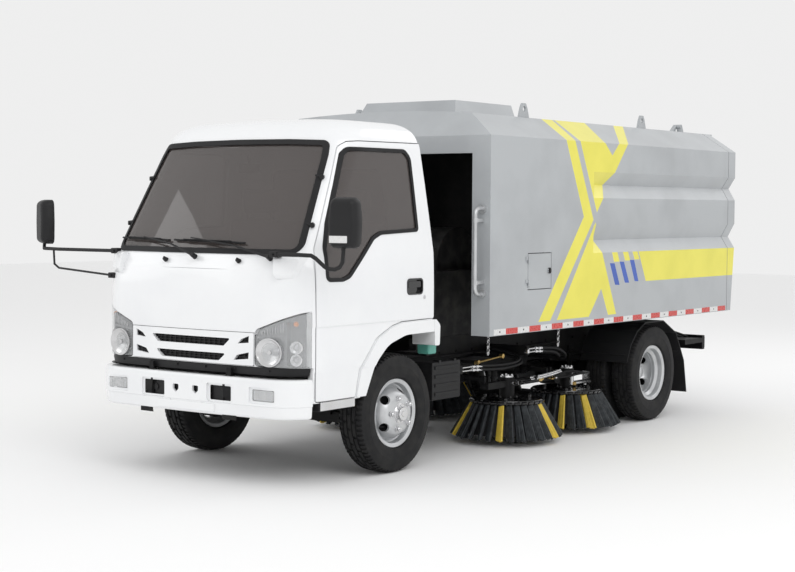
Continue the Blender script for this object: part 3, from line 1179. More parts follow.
def makeBumper():
    inner = bumperForm(bumperSizes["wall"])
    bmesh.ops.scale(inner, vec=(1, 1, 0.86), space=Matrix.Translation((0, 0, -0.55)), verts=inner.verts)
    tools = [inner, blockTool(-1, 1, bumperSizes["end"], -0.3, 0.3, 0.8)]
    bowls, lenses, black, marks = bmesh.new(), bmesh.new(), bmesh.new(), bmesh.new()
    for side in (-1, 1):
        for recess, hole in bumperRecesses:
            low, high = sorted((side * recess[0], side * recess[1]))
            # the floor of a recess follows the bow of the face
            tools.append(frontTool(frameShape(low, high, *recess[2:], 0.014),
                                   bumperSizes["recessFloor"] + 0.03 * recess[0] ** 2))
            low, high = sorted((side * hole[0], side * hole[1]))
            tools.append(frontTool(frameShape(low, high, *hole[2:], 0.008), -0.9))
        shield = [(side * 0.108, 0.598), (side * 0.108, 0.568), (side * 0.083, 0.546), (side * 0.058, 0.568),
                  (side * 0.058, 0.598)]
        tools.append(frontTool(roundedOutline(shield, 0.008), -0.9))
        # fog lamp: bowl, ribs, bulb and lens
        x0, x1 = sorted((side * (fogLampX - 0.08), side * (fogLampX + 0.08)))
        addPrism(bowls, frameShape(x0, x1, 0.539, 0.6, 0.01), "y", -1.018, -0.985)
        addPrism(lenses, frameShape(x0 - 0.002, x1 + 0.002, 0.537, 0.602, 0.01), "y", -1.031, -1.024)
        for step in range(7):
            x = x0 + 0.018 + step * (x1 - x0 - 0.036) / 6
            addBlock(bowls, x - 0.002, x + 0.002, -1.022, -1.017, 0.545, 0.594)
        addRod(bowls, (side * fogLampX, -1.017, fogLampZ), (side * fogLampX, -1.023, fogLampZ), 0.024, 32,
               0.02)
        # black plates behind the bracket recess and the shield
        x0, x1 = sorted((side * 0.19, side * 0.372))
        addBlock(black, x0, x1, -1.016, -1.006, 0.514, 0.616)
        addBlock(black, side * 0.05, side * 0.115, -1.024, -1.014, 0.54, 0.605)
        addRod(black, (side * 0.281, -1.022, 0.565), (side * 0.281, -1.006, 0.565), 0.02, 24)
        for z in (0.5, 0.63):
            addRod(marks, (side * 0.135, -1.045, z), (side * 0.135, -1.0512, z), 0.005, 16)
    # number plate space is a blank low pad
    addPrism(marks, frameShape(-0.24, 0.24, 0.448, 0.496, 0.006), "y", -1.0495, -1.04)
    bumper = cutSolid(bumperForm(0.0), tools)
    bmesh.ops.dissolve_degenerate(bumper, dist=mergeReach, edges=bumper.edges)
    finishPiece("bumper", bumper, "cabPaint", "root", ("front_bumper",), sharp=30, keepNormals=True)
    finishPiece("fogLampBowls", bowls, "brightSteel", "root", slot="cab_paint")
    finishPiece("fogLampLenses", lenses, "lampLens", "root", slot="cab_paint")
    finishPiece("bumperRecesses", black, "blackPlastic", "root", slot="cab_paint")
    finishPiece("bumperMarks", marks, "cabPaint", "root", slot="cab_paint")
    # what holds the bumper to the frame is kept from the node
    brackets = nodeCopy("front_bumper")
    drop = [f for f in brackets.faces if not (0.29 < abs(f.calc_center_median().x) < 0.37
                                              and f.calc_center_median().y > -1.043
                                              and 0.465 < f.calc_center_median().z < 0.565)]
    bmesh.ops.delete(brackets, geom=drop, context="FACES")
    finishPiece("bumperBrackets", brackets, "framePaint", "root", slot="cab_paint", keepNormals=True)


def makeSteps():
    refinish("cab_steps", "cabSteps", "blackPlastic", 0.004)
    bright = bmesh.new()
    for side in (-1, 1):
        addBlock(bright, side * 0.79, side * 0.869, -0.79, -0.455, 0.5195, 0.525, 0.0015)
        for step in range(17):
            y = -0.775 + step * 0.019
            addBlock(bright, side * 0.796, side * 0.862, y, y + 0.008, 0.5245, 0.5275)
        addBlock(bright, side * 0.864, side * 0.871, -0.79, -0.455, 0.474, 0.524, 0.0015)
    finishPiece("stepTreads", bright, "brightSteel", "cab", slot="black_plastic")


def mirrorHead(bm, centre, width, height, lean):
    # a rounded shell, fuller at its back than at its face
    halfWide, halfHigh = width / 2, height / 2
    shape = roundedOutline([(-halfWide * 0.9, -halfHigh), (halfWide * 0.9, -halfHigh), (halfWide, 0.0),
                            (halfWide * 0.86, halfHigh), (-halfWide * 0.86, halfHigh), (-halfWide, 0.0)],
                           [0.04, 0.04, 0.4, 0.045, 0.045, 0.4])
    depths = ((0.034, 0.006), (0.028, 0.0), (-0.006, 0.0), (-0.026, 0.005), (-0.04, 0.012), (-0.05, 0.022),
              (-0.055, 0.034))
    verts = addSkin(bm, [[(x, y, z) for x, z in offsetOutline(shape, shrink)] for y, shrink in depths])
    bmesh.ops.transform(bm, matrix=Matrix.Translation(centre) @ Matrix.Rotation(lean, 4, "Z"), verts=verts)


def tube(bm, points, radius, sides=14):
    # a bar that follows short straight runs with a ball at each bend
    for first, second in zip(points, points[1:]):
        addRod(bm, first, second, radius, sides)
    for place in points[1:-1]:
        made = bmesh.ops.create_uvsphere(bm, u_segments=sides, v_segments=8, radius=radius)["verts"]
        bmesh.ops.translate(bm, vec=place, verts=made)


# where each head is, its width and how far it turns about its upright axis
mirrorPlaces = {"left": ((1.1, -0.852, 1.61), 0.205, 0.16), "right": ((-1.49, -0.852, 1.592), 0.2, -0.5)}
mirrorHeight = 0.3


def makeMirrors():
    heads, faces, arms = bmesh.new(), bmesh.new(), bmesh.new()
    for centre, width, lean in mirrorPlaces.values():
        mirrorHead(heads, centre, width, mirrorHeight, lean)
        turn = Matrix.Translation(centre) @ Matrix.Rotation(lean, 4, "Z")
        verts = addPrism(faces, frameShape(-0.076, 0.076, -0.13, 0.13, 0.024), "y", 0.0335, 0.0355)
        bmesh.ops.transform(faces, matrix=turn, verts=verts)
    tube(arms, [(0.66, -0.985, 1.418), (0.84, -0.965, 1.418), (0.925, -0.95, 1.416), (0.955, -0.945, 1.4),
                (1.01, -0.93, 1.352), (1.035, -0.92, 1.338), (1.065, -0.9, 1.336), (1.085, -0.88, 1.35),
                (1.095, -0.865, 1.38), (1.098, -0.86, 1.48)], 0.0125)
    tube(arms, [(-0.79, -0.9, 1.41), (-1.3, -0.912, 1.41), (-1.46, -0.9, 1.412), (-1.488, -0.875, 1.43),
                (-1.49, -0.865, 1.48)], 0.0115)
    tube(arms, [(-0.79, -0.918, 1.25), (-1.3, -0.912, 1.284), (-1.345, -0.912, 1.31),
                (-1.352, -0.912, 1.408)],
         0.007)
    for x, y, z in ((0.665, -0.985, 1.418), (-0.775, -0.9, 1.41), (-0.78, -0.92, 1.25)):
        addBlock(arms, x - 0.03, x + 0.03, y - 0.012, y + 0.045, z - 0.018, z + 0.018, 0.006, 3)
        addBolt(arms, (x, y - 0.012, z), (0, -1, 0), 0.012)
    # a blank label low on the back of the left head
    label = bmesh.new()
    centre, lean = mirrorPlaces["left"][0], mirrorPlaces["left"][2]
    addBlock(label, -0.075, 0.045, -0.058, -0.0535, -0.118, -0.076, 0.002)
    bmesh.ops.transform(label, matrix=Matrix.Translation(centre) @ Matrix.Rotation(lean, 4, "Z"),
                        verts=label.verts)
    finishPiece("mirrorLabel", label, "tapeWhite", "cab", slot="black_plastic")
    finishPiece("mirrorHeads", heads, "blackPlastic", "cab", ("mirrors",), sharp=50)
    finishPiece("mirrorFaces", faces, "mirrorSilver", "cab", slot="black_plastic")
    finishPiece("mirrorArms", arms, "blackPlastic", "cab", slot="black_plastic", sharp=50)


# height, inner x, outer x and how far the boss stands out of the cab's front
bossRows = [(1.408, 0.636, 0.832, 0.03), (1.392, 0.634, 0.834, 0.05), (1.3, 0.644, 0.82, 0.046),
            (1.272, 0.65, 0.806, 0.03), (1.262, 0.66, 0.796, 0.0)]


def makeMirrorBosses():
    # painted bosses that carry the arms
    bosses = bmesh.new()
    for side in (-1, 1):
        rings = []
        for z, x0, x1, proud in bossRows:
            y0 = -0.985 + 0.28 * max(0.0, z - 1.315)
            ring = []
            for x, out in ((x0, -0.03), (x0 + 0.01, proud), (x1 - 0.05, proud), (x1, -0.05)):
                bend = 0.045 + 0.55 * max(0.0, abs(x) - 0.66)
                ring.append((side * x, y0 + bend - out, z))
            rings.append(ring + [(side * x1, y0 + 0.2, z), (side * x0, y0 + 0.12, z)])
        addSkin(bosses, rings)
    bmesh.ops.recalc_face_normals(bosses, faces=bosses.faces)
    softenEdges(bosses, 0.006, segments=3)
    finishPiece("mirrorBosses", bosses, "cabPaint", "cab", slot="cab_paint", sharp=40)


def makeInside():
    refinish("seats", "seatsCushions", "seatFabric", 0.008)
    refinish("dashboard", "dashPanel", "interiorPlastic", 0.008)
    refinish("steering_wheel", "steeringRim", "interiorPlastic", 0.0)
    refinish("cab_floor", "cabFloor", "interiorPlastic", 0.003)
    # head rests on their rods, the instrument hood, three knobs and the panel before the passenger
    extras = bmesh.new()
    for x in (0.3, 0.52, -0.28, -0.5):
        addRod(extras, (x, 0.09, 1.6), (x, 0.09, 1.68), 0.008, 12)
    for x in (0.41, -0.39):
        addBlock(extras, x - 0.14, x + 0.14, 0.06, 0.15, 1.66, 1.82, 0.03, 3)
    addBlock(extras, 0.25, 0.57, -0.72, -0.66, 1.3, 1.37, 0.012)
    for x in (-0.12, 0.0, 0.12):
        addRod(extras, (x, -0.625, 1.22), (x, -0.605, 1.218), 0.02, 20)
    addBlock(extras, -0.55, -0.25, -0.652, -0.63, 1.1, 1.2, 0.006)
    finishPiece("insideFittings", extras, "interiorPlastic", "cab", slot="interior_plastic")
    mirror = bmesh.new()
    addBlock(mirror, -0.09, 0.09, -0.46, -0.448, 1.92, 1.98, 0.006)
    addRod(mirror, (0, -0.452, 1.975), (0, -0.47, 2.03), 0.006, 10)
    finishPiece("insideMirror", mirror, "blackPlastic", "cab", slot="interior_plastic")


makeBumper()
makeSteps()
makeMirrors()
makeMirrorBosses()
makeInside()
print("front made")


# disc brushes and what carries and feeds them
brushSizes = {"bundles": 30, "tufts": 6, "fill": 0.5, "slant": 0.05, "hubRadius": 0.262, "hubZ": 0.3,
              "tipRadius": 0.404, "tipZ": 0.047, "tuft": (0.0065, 0.0095), "layer": 0.02,
              "yellow": {"front": (0, 18, 24, 9), "rear": (24, 27, 8, 12)}, "motorX": 0.65,
              "motorY": {"front": 1.64, "rear": 2.5}}


def addVane(bm, centre, bundle, picker):
    # one flat bundle, set askew so that gaps show between it and the next
    count, tufts = brushSizes["bundles"], brushSizes["tufts"]
    pitch = 2 * pi / count
    start = (bundle + 0.5) * pitch
    droop = picker.uniform(-0.012, 0.004)
    for row in range(2):
        for step in range(tufts):
            share = step / (tufts - 1) - 0.5
            angle = start + share * pitch * brushSizes["fill"]
            spread = angle + picker.uniform(-0.004, 0.004)
            near = brushSizes["hubRadius"] - 0.008 + share * 0.012 - row * 0.012
            reach = brushSizes["tipRadius"] - 0.02 + share * brushSizes["slant"]
            far = reach - row * brushSizes["layer"] + droop
            tip = brushSizes["tipZ"] + picker.uniform(0.0, 0.008)
            root, end = brushSizes["tuft"]
            addRod(bm, (centre[0] + near * cos(angle), centre[1] + near * sin(angle), brushSizes["hubZ"]),
                   (centre[0] + far * cos(spread), centre[1] + far * sin(spread), tip), root, 7, end)


def makeBrush(side, position, centre):
    name = side.title() + position.title()
    body = "disc_" + side + "_" + position
    picker = random.Random(name)
    dark, yellow = bmesh.new(), bmesh.new()
    count = brushSizes["bundles"]
    for bundle in range(count):
        # the right brushes carry their yellow bundles as a mirror image of the left ones
        seen = bundle if side == "left" else (count // 2 - 1 - bundle) % count
        chosen = yellow if seen in brushSizes["yellow"][position] else dark
        addVane(chosen, centre, bundle, picker)
    x, y = centre
    hub = bmesh.new()
    addTurned(hub, [(0.286, 0.0), (0.286, 0.2), (0.29, 0.25), (0.296, 0.268), (0.31, 0.271), (0.32, 0.266),
                    (0.322, 0.255), (0.322, 0.12), (0.327, 0.11), (0.327, 0.0)], (x, y, 0.0), (0, 0, 1), 72)
    addRod(hub, (x, y, 0.322), (x, y, 0.362), 0.018, 24)
    for step in range(count):
        angle = (step + 0.5) * 2 * pi / count
        # a clamp over the root of each bundle
        verts = addBlock(hub, -0.012, 0.012, -0.021, 0.021, -0.013, 0.013, 0.003)
        place = Matrix.Translation((x + 0.264 * cos(angle), y + 0.264 * sin(angle), 0.303))
        turn = Matrix.Rotation(angle, 4, "Z") @ Matrix.Rotation(0.5, 4, "Y")
        bmesh.ops.transform(hub, matrix=place @ turn, verts=verts)
    for step in range(6):
        angle = step * pi / 3
        addBolt(hub, (x + 0.19 * cos(angle), y + 0.19 * sin(angle), 0.322), (0, 0, 1), 0.016, 0.01)
        angle += 0.4
        addBolt(hub, (x + 0.07 * cos(angle), y + 0.07 * sin(angle), 0.327), (0, 0, 1), 0.012, 0.008)
    # short inner bristles, seen as a dark cone behind the bundles
    inner = bmesh.new()
    addTurned(inner, [(0.3, 0.205), (0.3, 0.228), (0.075, 0.335), (0.075, 0.325), (0.29, 0.205),
                      (0.3, 0.205)], (x, y, 0.0), (0, 0, 1), 72)
    finishPiece("brush" + name, dark, "darkBristle", body, ("brush_" + side + "_" + position,), sharp=60)
    finishPiece("brushYellow" + name, yellow, "yellowBristle", body, slot="bristle", sharp=60)
    finishPiece("brushHub" + name, hub, "glossBlack", body, slot="bristle", sharp=40)
    finishPiece("brushInner" + name, inner, "rubberSeal", body, slot="bristle", sharp=40)


def addChain(bm, top, links):
    # each link is a ring of short rods, a quarter turn from the last
    for step in range(links):
        before = len(bm.verts)
        ring = [(0.009 * cos(a), 0, 0.014 * sin(a)) for a in (k * pi / 5 for k in range(10))]
        for first, second in zip(ring, ring[1:] + ring[:1]):
            addRod(bm, first, second, 0.0032, 6)
        bm.verts.ensure_lookup_table()
        turned = Matrix.Rotation(step * pi / 2, 4, "Z")
        bmesh.ops.transform(bm, matrix=Matrix.Translation((top[0], top[1], top[2] - step * 0.021)) @ turned,
                            verts=bm.verts[before:])


def addCoupling(bm, place, along, wide=0.014):
    # hexagon, collar and hexagon on a hose end
    place, along = Vector(place), Vector(along).normalized()
    for start, end, share, sides in ((0.0, 0.02, 1.0, 6), (0.02, 0.05, 0.7, 14), (0.05, 0.066, 1.1, 6),
                                     (0.066, 0.12, 0.8, 14)):
        addRod(bm, place + along * start, place + along * end, wide * share, sides)


def makeCarrier(side, sign):
    body = "carrier_" + side
    node = "brush_carrier_" + side
    refinish(node, "brushBeam" + side.title(), "framePaint", 0.003)
    metal, brass = bmesh.new(), bmesh.new()
    x = brushSizes["motorX"] * sign
    for y in brushSizes["motorY"].values():
        # motor cap, its bolts and its two ports
        addRod(metal, (x, y, 0.468), (x, y, 0.482), 0.048, 32)
        for step in range(4):
            angle = pi / 4 + step * pi / 2
            addBolt(metal, (x + 0.036 * cos(angle), y + 0.036 * sin(angle), 0.482), (0, 0, 1), 0.012, 0.009)
        for dy in (-0.024, 0.024):
            addCoupling(metal, (x + sign * 0.05, y + dy, 0.43), (sign, 0, 0.1), 0.011)
    # two brass tees on the beam, and the damper behind the rear motor
    for y in (2.02, 2.2):
        addBlock(brass, sign * 0.676, sign * 0.71, y - 0.022, y + 0.022, 0.41, 0.44, 0.004)
        addRod(brass, (sign * 0.693, y - 0.05, 0.425), (sign * 0.693, y + 0.05, 0.425), 0.011, 6)
    addRod(brass, (sign * 0.7, 2.5, 0.352), (sign * 0.7, 2.53, 0.352), 0.021, 6)
    addRod(metal, (sign * 0.7, 2.53, 0.352), (sign * 0.7, 2.76, 0.352), 0.019, 24)
    addBlock(metal, sign * 0.65, sign * 0.7, 2.74, 2.77, 0.345, 0.43)
    addBlock(metal, sign * 0.65, sign * 0.71, 2.47, 2.5, 0.345, 0.43)
    # bright tubes bowed over the beam
    for low, x in ((0.436, 0.735), (0.446, 0.752), (0.458, 0.742)):
        bow = [(sign * x, 1.8 + 0.44 * k / 8, low + 0.025 * (k / 8) ** 2) for k in range(9)]
        tube(metal, bow, 0.008, 10)
    for y in (1.86, 2.16):
        addBlock(metal, sign * 0.676, sign * 0.76, y - 0.01, y + 0.01, 0.424, 0.434)
    finishPiece("carrierFittings" + side.title(), metal, "brightSteel", body, slot=slotOf[node])
    finishPiece("carrierBrass" + side.title(), brass, "brassFitting", body, slot=slotOf[node])
    # a pair of hoses loops from each motor to its tee
    routes = []
    portX = 0.81 * sign
    for y, far, step in ((brushSizes["motorY"]["front"], 2.0, 1), (brushSizes["motorY"]["rear"], 2.18, -1)):
        for dy in (-0.024, 0.024):
            routes.append([(portX, y + dy, 0.444), (portX + sign * 0.03, y + dy, 0.444),
                           (portX + sign * 0.025, y + dy + step * 0.08, 0.45),
                           (portX - sign * 0.03, y + step * 0.2, 0.452 + dy),
                           (sign * 0.72, far - step * 0.05, 0.43 + dy * 0.4), (sign * 0.7, far, 0.426)])
    hose("carrierHoses" + side.title(), routes, 0.0085, "rubberSeal", body)
    for position in ("front", "rear"):
        refinish("brush_link_" + side + "_" + position, "brushLink" + side.title() + position.title(),
                 "framePaint", 0.0025)


def makeFrameFittings(side, sign):
    # chains under the body's edge, and the pipework fixed to the frame above the brushes
    chain = bmesh.new()
    for y in (1.0, 1.94):
        addRod(chain, (sign * 0.9, y, 0.836), (sign * 0.9, y, 0.812), 0.007, 10)
        addChain(chain, (sign * 0.9, y, 0.808), 6)
    finishPiece("bodyChains" + side.title(), chain, "brightSteel", "hopper_body", slot=slotOf["body_shell"])
    frameSlot = slotOf["chassis_frame"]
    steel, gold, iron = bmesh.new(), bmesh.new(), bmesh.new()
    out = sign * 0.7
    for y0, y1, heights in ((0.95, 1.1, (0.565, 0.59)), (1.82, 1.94, (0.64, 0.665))):
        for z in heights:
            addRod(steel, (out, y0, z), (out, y1, z), 0.007, 12)
            addCoupling(steel, (out, y1, z), (0, 1, -0.05))
    for step in range(3):
        addCoupling(steel, (sign * 0.52, 0.93 + step * 0.03, 0.6 - step * 0.02), (sign, 0.2, 0.1), 0.016)
    addBlock(iron, sign * 0.362, sign * 0.72, 0.925, 0.96, 0.55, 0.61, 0.004)
    addBlock(iron, sign * 0.362, sign * 0.72, 1.8, 1.83, 0.62, 0.69, 0.004)
    addBlock(steel, out, sign * 0.73, 1.795, 1.82, 0.635, 0.665, 0.003)
    # adjuster rod, its end caps and their brackets
    addRod(gold, (sign * 0.62, 1.3, 0.6), (sign * 0.62, 1.6, 0.622), 0.0085, 14)
    for y, z in ((1.29, 0.599), (1.61, 0.623)):
        addRod(gold, (sign * 0.605, y, z), (sign * 0.635, y, z), 0.017, 16)
        addBlock(iron, sign * 0.362, sign * 0.61, y - 0.012, y + 0.012, z - 0.012, z + 0.012, 0.003)
    finishPiece("frameFittings" + side.title(), steel, "brightSteel", "root", slot=frameSlot)
    finishPiece("adjusterRod" + side.title(), gold, "brassFitting", "root", slot=frameSlot)
    finishPiece("fittingBrackets" + side.title(), iron, "framePaint", "root", slot=frameSlot)
    near, inside = sign * 0.66, sign * 0.4
    hose("frameHoses" + side.title(),
         [[(out, 1.2, 0.59), (out, 1.4, 0.575), (out, 1.62, 0.575), (out, 1.74, 0.59), (near, 1.78, 0.63),
           (inside, 1.78, 0.66)],
          [(out, 1.2, 0.563), (out, 1.42, 0.545), (out, 1.66, 0.552), (out, 1.77, 0.57), (near, 1.79, 0.6),
           (inside, 1.79, 0.63)],
          [(out, 2.04, 0.66), (out, 2.2, 0.655), (out, 2.33, 0.625), (out, 2.4, 0.58), (near, 2.42, 0.55),
           (inside, 2.4, 0.58)],
          [(out, 2.04, 0.634), (out, 2.18, 0.628), (out, 2.28, 0.6), (sign * 0.68, 2.34, 0.56),
           (inside, 2.34, 0.56)]], 0.012, "rubberSeal", "root")


for sideName, sideSign in bothSides:
    for brushPosition, brushY in brushSizes["motorY"].items():
        makeBrush(sideName, brushPosition, (brushSizes["motorX"] * sideSign, brushY))
    makeCarrier(sideName, sideSign)
    makeFrameFittings(sideName, sideSign)
print("brushes made")


# chassis and machinery
def frameExtras(bm):
    # bolts along the rails and cross members
    for side in (-1, 1):
        for step in range(24):
            y = -0.7 + step * 0.21
            for z in (0.56, 0.66):
                addBolt(bm, (side * 0.36, y, z), (side, 0, 0), 0.013, 0.009)


def engineExtras(bm):
    # ribs across the valve cover
    for step in range(6):
        addBlock(bm, -0.2, 0.2, -0.36 + step * 0.11, -0.3 + step * 0.11, 0.86, 0.875, 0.004)


def tankExtras(bm):
    # two straps and the filler cap
    for y in (0.66, 0.98):
        addBlock(bm, -0.806, -0.41, y - 0.02, y + 0.02, 0.374, 0.706, 0.003)
    addRod(bm, (-0.72, 0.82, 0.698), (-0.72, 0.82, 0.73), 0.04, 32, 0.037)


def batteryExtras(bm):
    # ridges of the cover and its two catches
    for z in (0.44, 0.5, 0.56, 0.62):
        addBlock(bm, 0.739, 0.746, 0.59, 0.87, z - 0.012, z + 0.012, 0.002)
    for y in (0.64, 0.82):
        addBlock(bm, 0.7, 0.75, y - 0.012, y + 0.012, 0.655, 0.672, 0.002)


def springExtras(bm):
    # separate leaves, clips and axle bolts
    for side in (-1, 1):
        for axleY, leafZ, reach in ((0.0, 0.372, 0.168), (rearAxleY, 0.455, 0.186)):
            for step, share in enumerate((0.8, 0.6, 0.42)):
                low = leafZ + 0.053 + 0.01 * step
                addBlock(bm, side * 0.289, side * 0.355, axleY - reach * share, axleY + reach * share,
                         low, low + 0.007, 0.001)
            for y in (axleY - 0.05, axleY + 0.05):
                for x in (0.285, 0.359):
                    addRod(bm, (side * x, y, leafZ - 0.01), (side * x, y, leafZ + 0.105), 0.008, 10)


def axleExtras(bm):
    # bolts on both faces of the axle's middle housing
    for x, side in ((-0.076, -1), (0.096, 1)):
        for step in range(8):
            angle = step * pi / 4
            addBolt(bm, (x, rearAxleY + 0.13 * cos(angle), wheelSizes["tyreRadius"] + 0.13 * sin(angle)),
                    (side, 0, 0), 0.013, 0.009)


def guardExtras(bm):
    # a thin rib across each bend of the mudguards
    for side in (-1, 1):
        for y, z in ((3.2, 0.772), (3.5, 0.798), (3.86, 0.588), (3.97, 0.35)):
            addBlock(bm, side * 0.51, side * 0.925, y - 0.004, y + 0.004, z - 0.002, z + 0.002)


def machineExtras(bm):
    # fins of the radiator, a flywheel cover and pipes on the auxiliary engine
    for step in range(20):
        x = -0.4 + step * 0.042
        addBlock(bm, x - 0.006, x + 0.006, 0.972, 0.986, 0.83, 1.39)
    addTurned(bm, [(0.0, 0.0), (0.0, 0.2), (0.03, 0.22), (0.03, 0.0)], (0.0, 1.1, 1.05), (0, -1, 0), 40)
    for step in range(5):
        addRod(bm, (-0.33, 1.2 + step * 0.14, 1.2), (-0.4, 1.2 + step * 0.14, 1.16), 0.026, 14)
    addRod(bm, (-0.42, 1.16, 1.16), (-0.42, 1.84, 1.16), 0.045, 20)
    addRod(bm, (-0.42, 1.84, 1.16), (-0.42, 1.86, 1.6), 0.04, 20)


def nozzleExtras(bm):
    # skids and the front lip
    for x in (-0.44, 0.44):
        addBlock(bm, x - 0.03, x + 0.03, 2.935, 3.16, 0.026, 0.05, 0.004)
    addBlock(bm, -0.47, 0.47, 2.938, 2.953, 0.022, 0.15, 0.003)


def makeChassis():
    # nodes that keep their shape, with softened edges and what is added to them
    for node, name, finish, width, extra in (
            ("chassis_frame", "chassisFrame", "framePaint", 0.003, frameExtras),
            ("engine_block", "engineBlock", "castMetal", 0.01, engineExtras),
            ("driveline", "driveShaft", "castMetal", 0.004, None),
            ("front_axle", "frontAxle", "framePaint", 0.006, None),
            ("leaf_springs", "leafSprings", "framePaint", 0.002, springExtras),
            ("rear_axle", "rearAxle", "framePaint", 0.006, axleExtras),
            ("fuel_tank", "fuelTank", "framePaint", 0.0, tankExtras),
            ("battery_box", "batteryBox", "blackPlastic", 0.008, batteryExtras),
            ("rear_mudguards", "rearMudguards", "blackPlastic", 0.001, guardExtras),
            ("auxiliary_engine", "auxiliaryEngine", "castMetal", 0.01, machineExtras),
            ("suction_nozzle", "suctionNozzle", "framePaint", 0.003, nozzleExtras),
            ("rear_lamp_beam", "lampBeam", "framePaint", 0.004, None),
            ("knuckle_left", "knuckleLeft", "castMetal", 0.002, None),
            ("knuckle_right", "knuckleRight", "castMetal", 0.002, None),
            ("tip_cylinder_barrel", "tipBarrel", "framePaint", 0.002, None),
            ("tip_cylinder_rod", "tipRod", "brightSteel", 0.001, None)):
        refinish(node, name, finish, width, extra)


def makeRearLamps():
    red, amber, white, dark = bmesh.new(), bmesh.new(), bmesh.new(), bmesh.new()
    back = 4.444  # rear face of the lamp beam
    for side in (-1, 1):
        addBlock(dark, side * 0.56, side * 0.87, back, back + 0.03, 0.512, 0.608, 0.006, 3)
        for target, x0, x1 in ((red, 0.77, 0.86), (amber, 0.67, 0.762), (white, 0.575, 0.662)):
            addBlock(target, side * x0, side * x1, back + 0.028, back + 0.042, 0.522, 0.598, 0.005, 3)
    # a blank plate and its lamp
    addBlock(dark, -0.44, -0.12, back, back + 0.004, 0.506, 0.614, 0.002)
    addBlock(white, -0.43, -0.13, back + 0.004, back + 0.006, 0.514, 0.606, 0.001)
    addBlock(dark, -0.3, -0.26, back, back + 0.03, 0.612, 0.626, 0.003)
    finishPiece("rearLampCases", dark, "blackPlastic", "root", slot="frame_paint")
    finishPiece("rearLampsRed", red, "lampRed", "root", slot="frame_paint", sharp=50)
    finishPiece("rearLampsAmber", amber, "lampAmber", "root", slot="frame_paint", sharp=50)
    finishPiece("rearLampsWhite", white, "lampWhite", "root", slot="frame_paint", sharp=50)


def makeBottle():
    # washer bottle behind the cab, with coolant showing in its lower half
    bottle, fluid = bmesh.new(), bmesh.new()
    addBlock(bottle, 0.72, 0.82, 0.405, 0.5, 0.81, 0.885, 0.014, 3)
    addRod(bottle, (0.77, 0.45, 0.88), (0.77, 0.45, 0.905), 0.026, 24)
    addBlock(fluid, 0.721, 0.819, 0.406, 0.499, 0.73, 0.8115, 0.012, 3)
    holder = bmesh.new()
    addBlock(holder, 0.36, 0.78, 0.44, 0.47, 0.714, 0.732, 0.003)
    addBlock(holder, 0.362, 0.39, 0.44, 0.47, 0.6, 0.73, 0.003)
    finishPiece("bottleHolder", holder, "framePaint", "root", slot="black_plastic")
    finishPiece("bottle", bottle, "bottlePlastic", "root", slot="black_plastic")
    finishPiece("bottleFluid", fluid, "bottleGreen", "root", slot="black_plastic")


def makePipes():
    # air and fluid lines along the left rail, and the two that drop to the rear lamps
    hose("railLines", [[(0.372, -0.3, 0.6), (0.376, 0.6, 0.612), (0.374, 1.2, 0.6), (0.376, 2.0, 0.61),
                        (0.372, 2.8, 0.6)],
                       [(0.372, -0.3, 0.635), (0.378, 0.6, 0.628), (0.374, 1.2, 0.64), (0.378, 2.0, 0.63),
                        (0.372, 2.8, 0.64)]], 0.008, "rubberSeal", "root")
    hose("rearLines", [[(0.36, 3.7, 0.66), (0.5, 3.9, 0.705), (0.62, 4.05, 0.69), (0.7, 4.2, 0.66),
                        (0.74, 4.4, 0.6)],
                       [(0.36, 3.7, 0.63), (0.52, 3.9, 0.67), (0.6, 4.1, 0.66), (0.68, 4.25, 0.63),
                        (0.7, 4.4, 0.59)]], 0.011, "rubberSeal", "root")


makeChassis()
makeRearLamps()
makeBottle()
makePipes()
print("chassis made")


# floor, light and camera
stageSizes = {"floor": 60.0, "floorGrey": 0.93, "floorRough": 0.8, "cameraPlace": (6.9287, -8.2445, 1.6958),
              "yaw": -0.6347, "pitch": -0.0483, "roll": 0.0057, "lens": 72.604, "sensor": 36.0,
              "worldLight": 0.86, "lampAim": (0.0, 1.8, 1.2), "lampSize": 6.0}
# place and power of each lamp
lampPlaces = {"keyLight": ((7.5, -4.0, 7.5), 240.0), "fillLight": ((-7.0, -6.0, 5.0), 120.0),
              "rearLight": ((3.0, 10.0, 7.0), 120.0)}


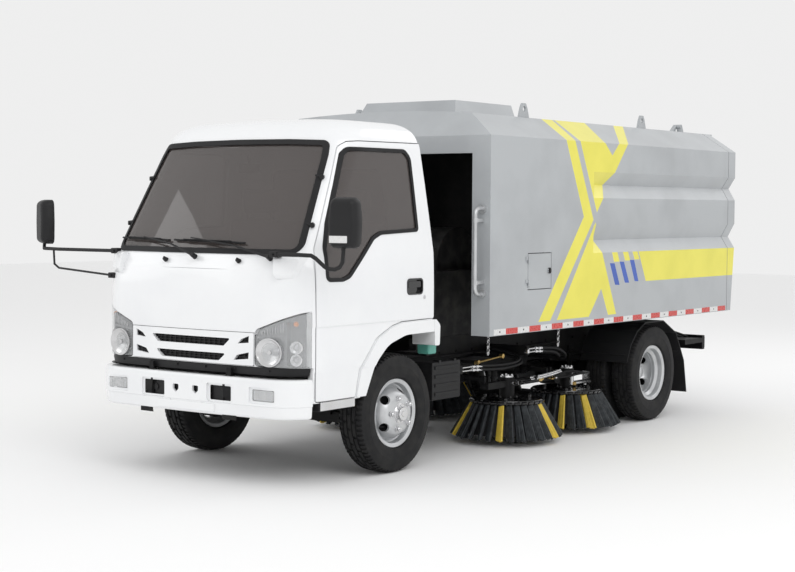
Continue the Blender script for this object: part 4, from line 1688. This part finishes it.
def makeStage():
    bm = bmesh.new()
    bmesh.ops.create_grid(bm, x_segments=1, y_segments=1, size=stageSizes["floor"] / 2)
    mesh = bpy.data.meshes.new("floor")
    bm.to_mesh(mesh)
    bm.free()
    floor = bpy.data.objects.new("floor", mesh)
    bpy.context.scene.collection.objects.link(floor)
    finish = bpy.data.materials.new("floorPale")
    finish.use_nodes = True
    shader = finish.node_tree.nodes["Principled BSDF"]
    shader.inputs["Base Color"].default_value = (*[stageSizes["floorGrey"]] * 3, 1.0)
    shader.inputs["Roughness"].default_value = stageSizes["floorRough"]
    mesh.materials.append(finish)
    world = bpy.data.worlds.new("paleSky")
    world.use_nodes = True
    sky = world.node_tree.nodes["Background"]
    sky.inputs["Color"].default_value = (1.0, 1.0, 1.0, 1.0)
    sky.inputs["Strength"].default_value = stageSizes["worldLight"]
    bpy.context.scene.world = world
    aim = Vector(stageSizes["lampAim"]) + shift
    for name, (place, power) in lampPlaces.items():
        lamp = bpy.data.lights.new(name, "AREA")
        lamp.energy = power
        lamp.size = stageSizes["lampSize"]
        holder = bpy.data.objects.new(name, lamp)
        holder.location = Vector(place) + shift
        holder.rotation_euler = (aim - holder.location).to_track_quat("-Z", "Y").to_euler()
        bpy.context.scene.collection.objects.link(holder)


def makeCamera():
    # yaw turns from the truck's rearward direction, pitch up from level
    yaw, pitch, roll = stageSizes["yaw"], stageSizes["pitch"], stageSizes["roll"]
    forward = Vector((sin(yaw) * cos(pitch), cos(yaw) * cos(pitch), sin(pitch)))
    level = Vector((cos(yaw), -sin(yaw), 0.0))
    lifted = level.cross(forward)
    right = level * cos(roll) + lifted * sin(roll)
    up = lifted * cos(roll) - level * sin(roll)
    lens = bpy.data.cameras.new("camera")
    lens.lens = stageSizes["lens"]
    lens.sensor_width = stageSizes["sensor"]
    lens.clip_end = 200.0
    camera = bpy.data.objects.new("camera", lens)
    turn = Matrix((right, up, -forward)).transposed().to_4x4()
    camera.matrix_world = Matrix.Translation(Vector(stageSizes["cameraPlace"]) + shift) @ turn
    bpy.context.scene.collection.objects.link(camera)
    bpy.context.scene.camera = camera


makeStage()
makeCamera()
bpy.context.scene.view_settings.view_transform = "Standard"
print("stage made")
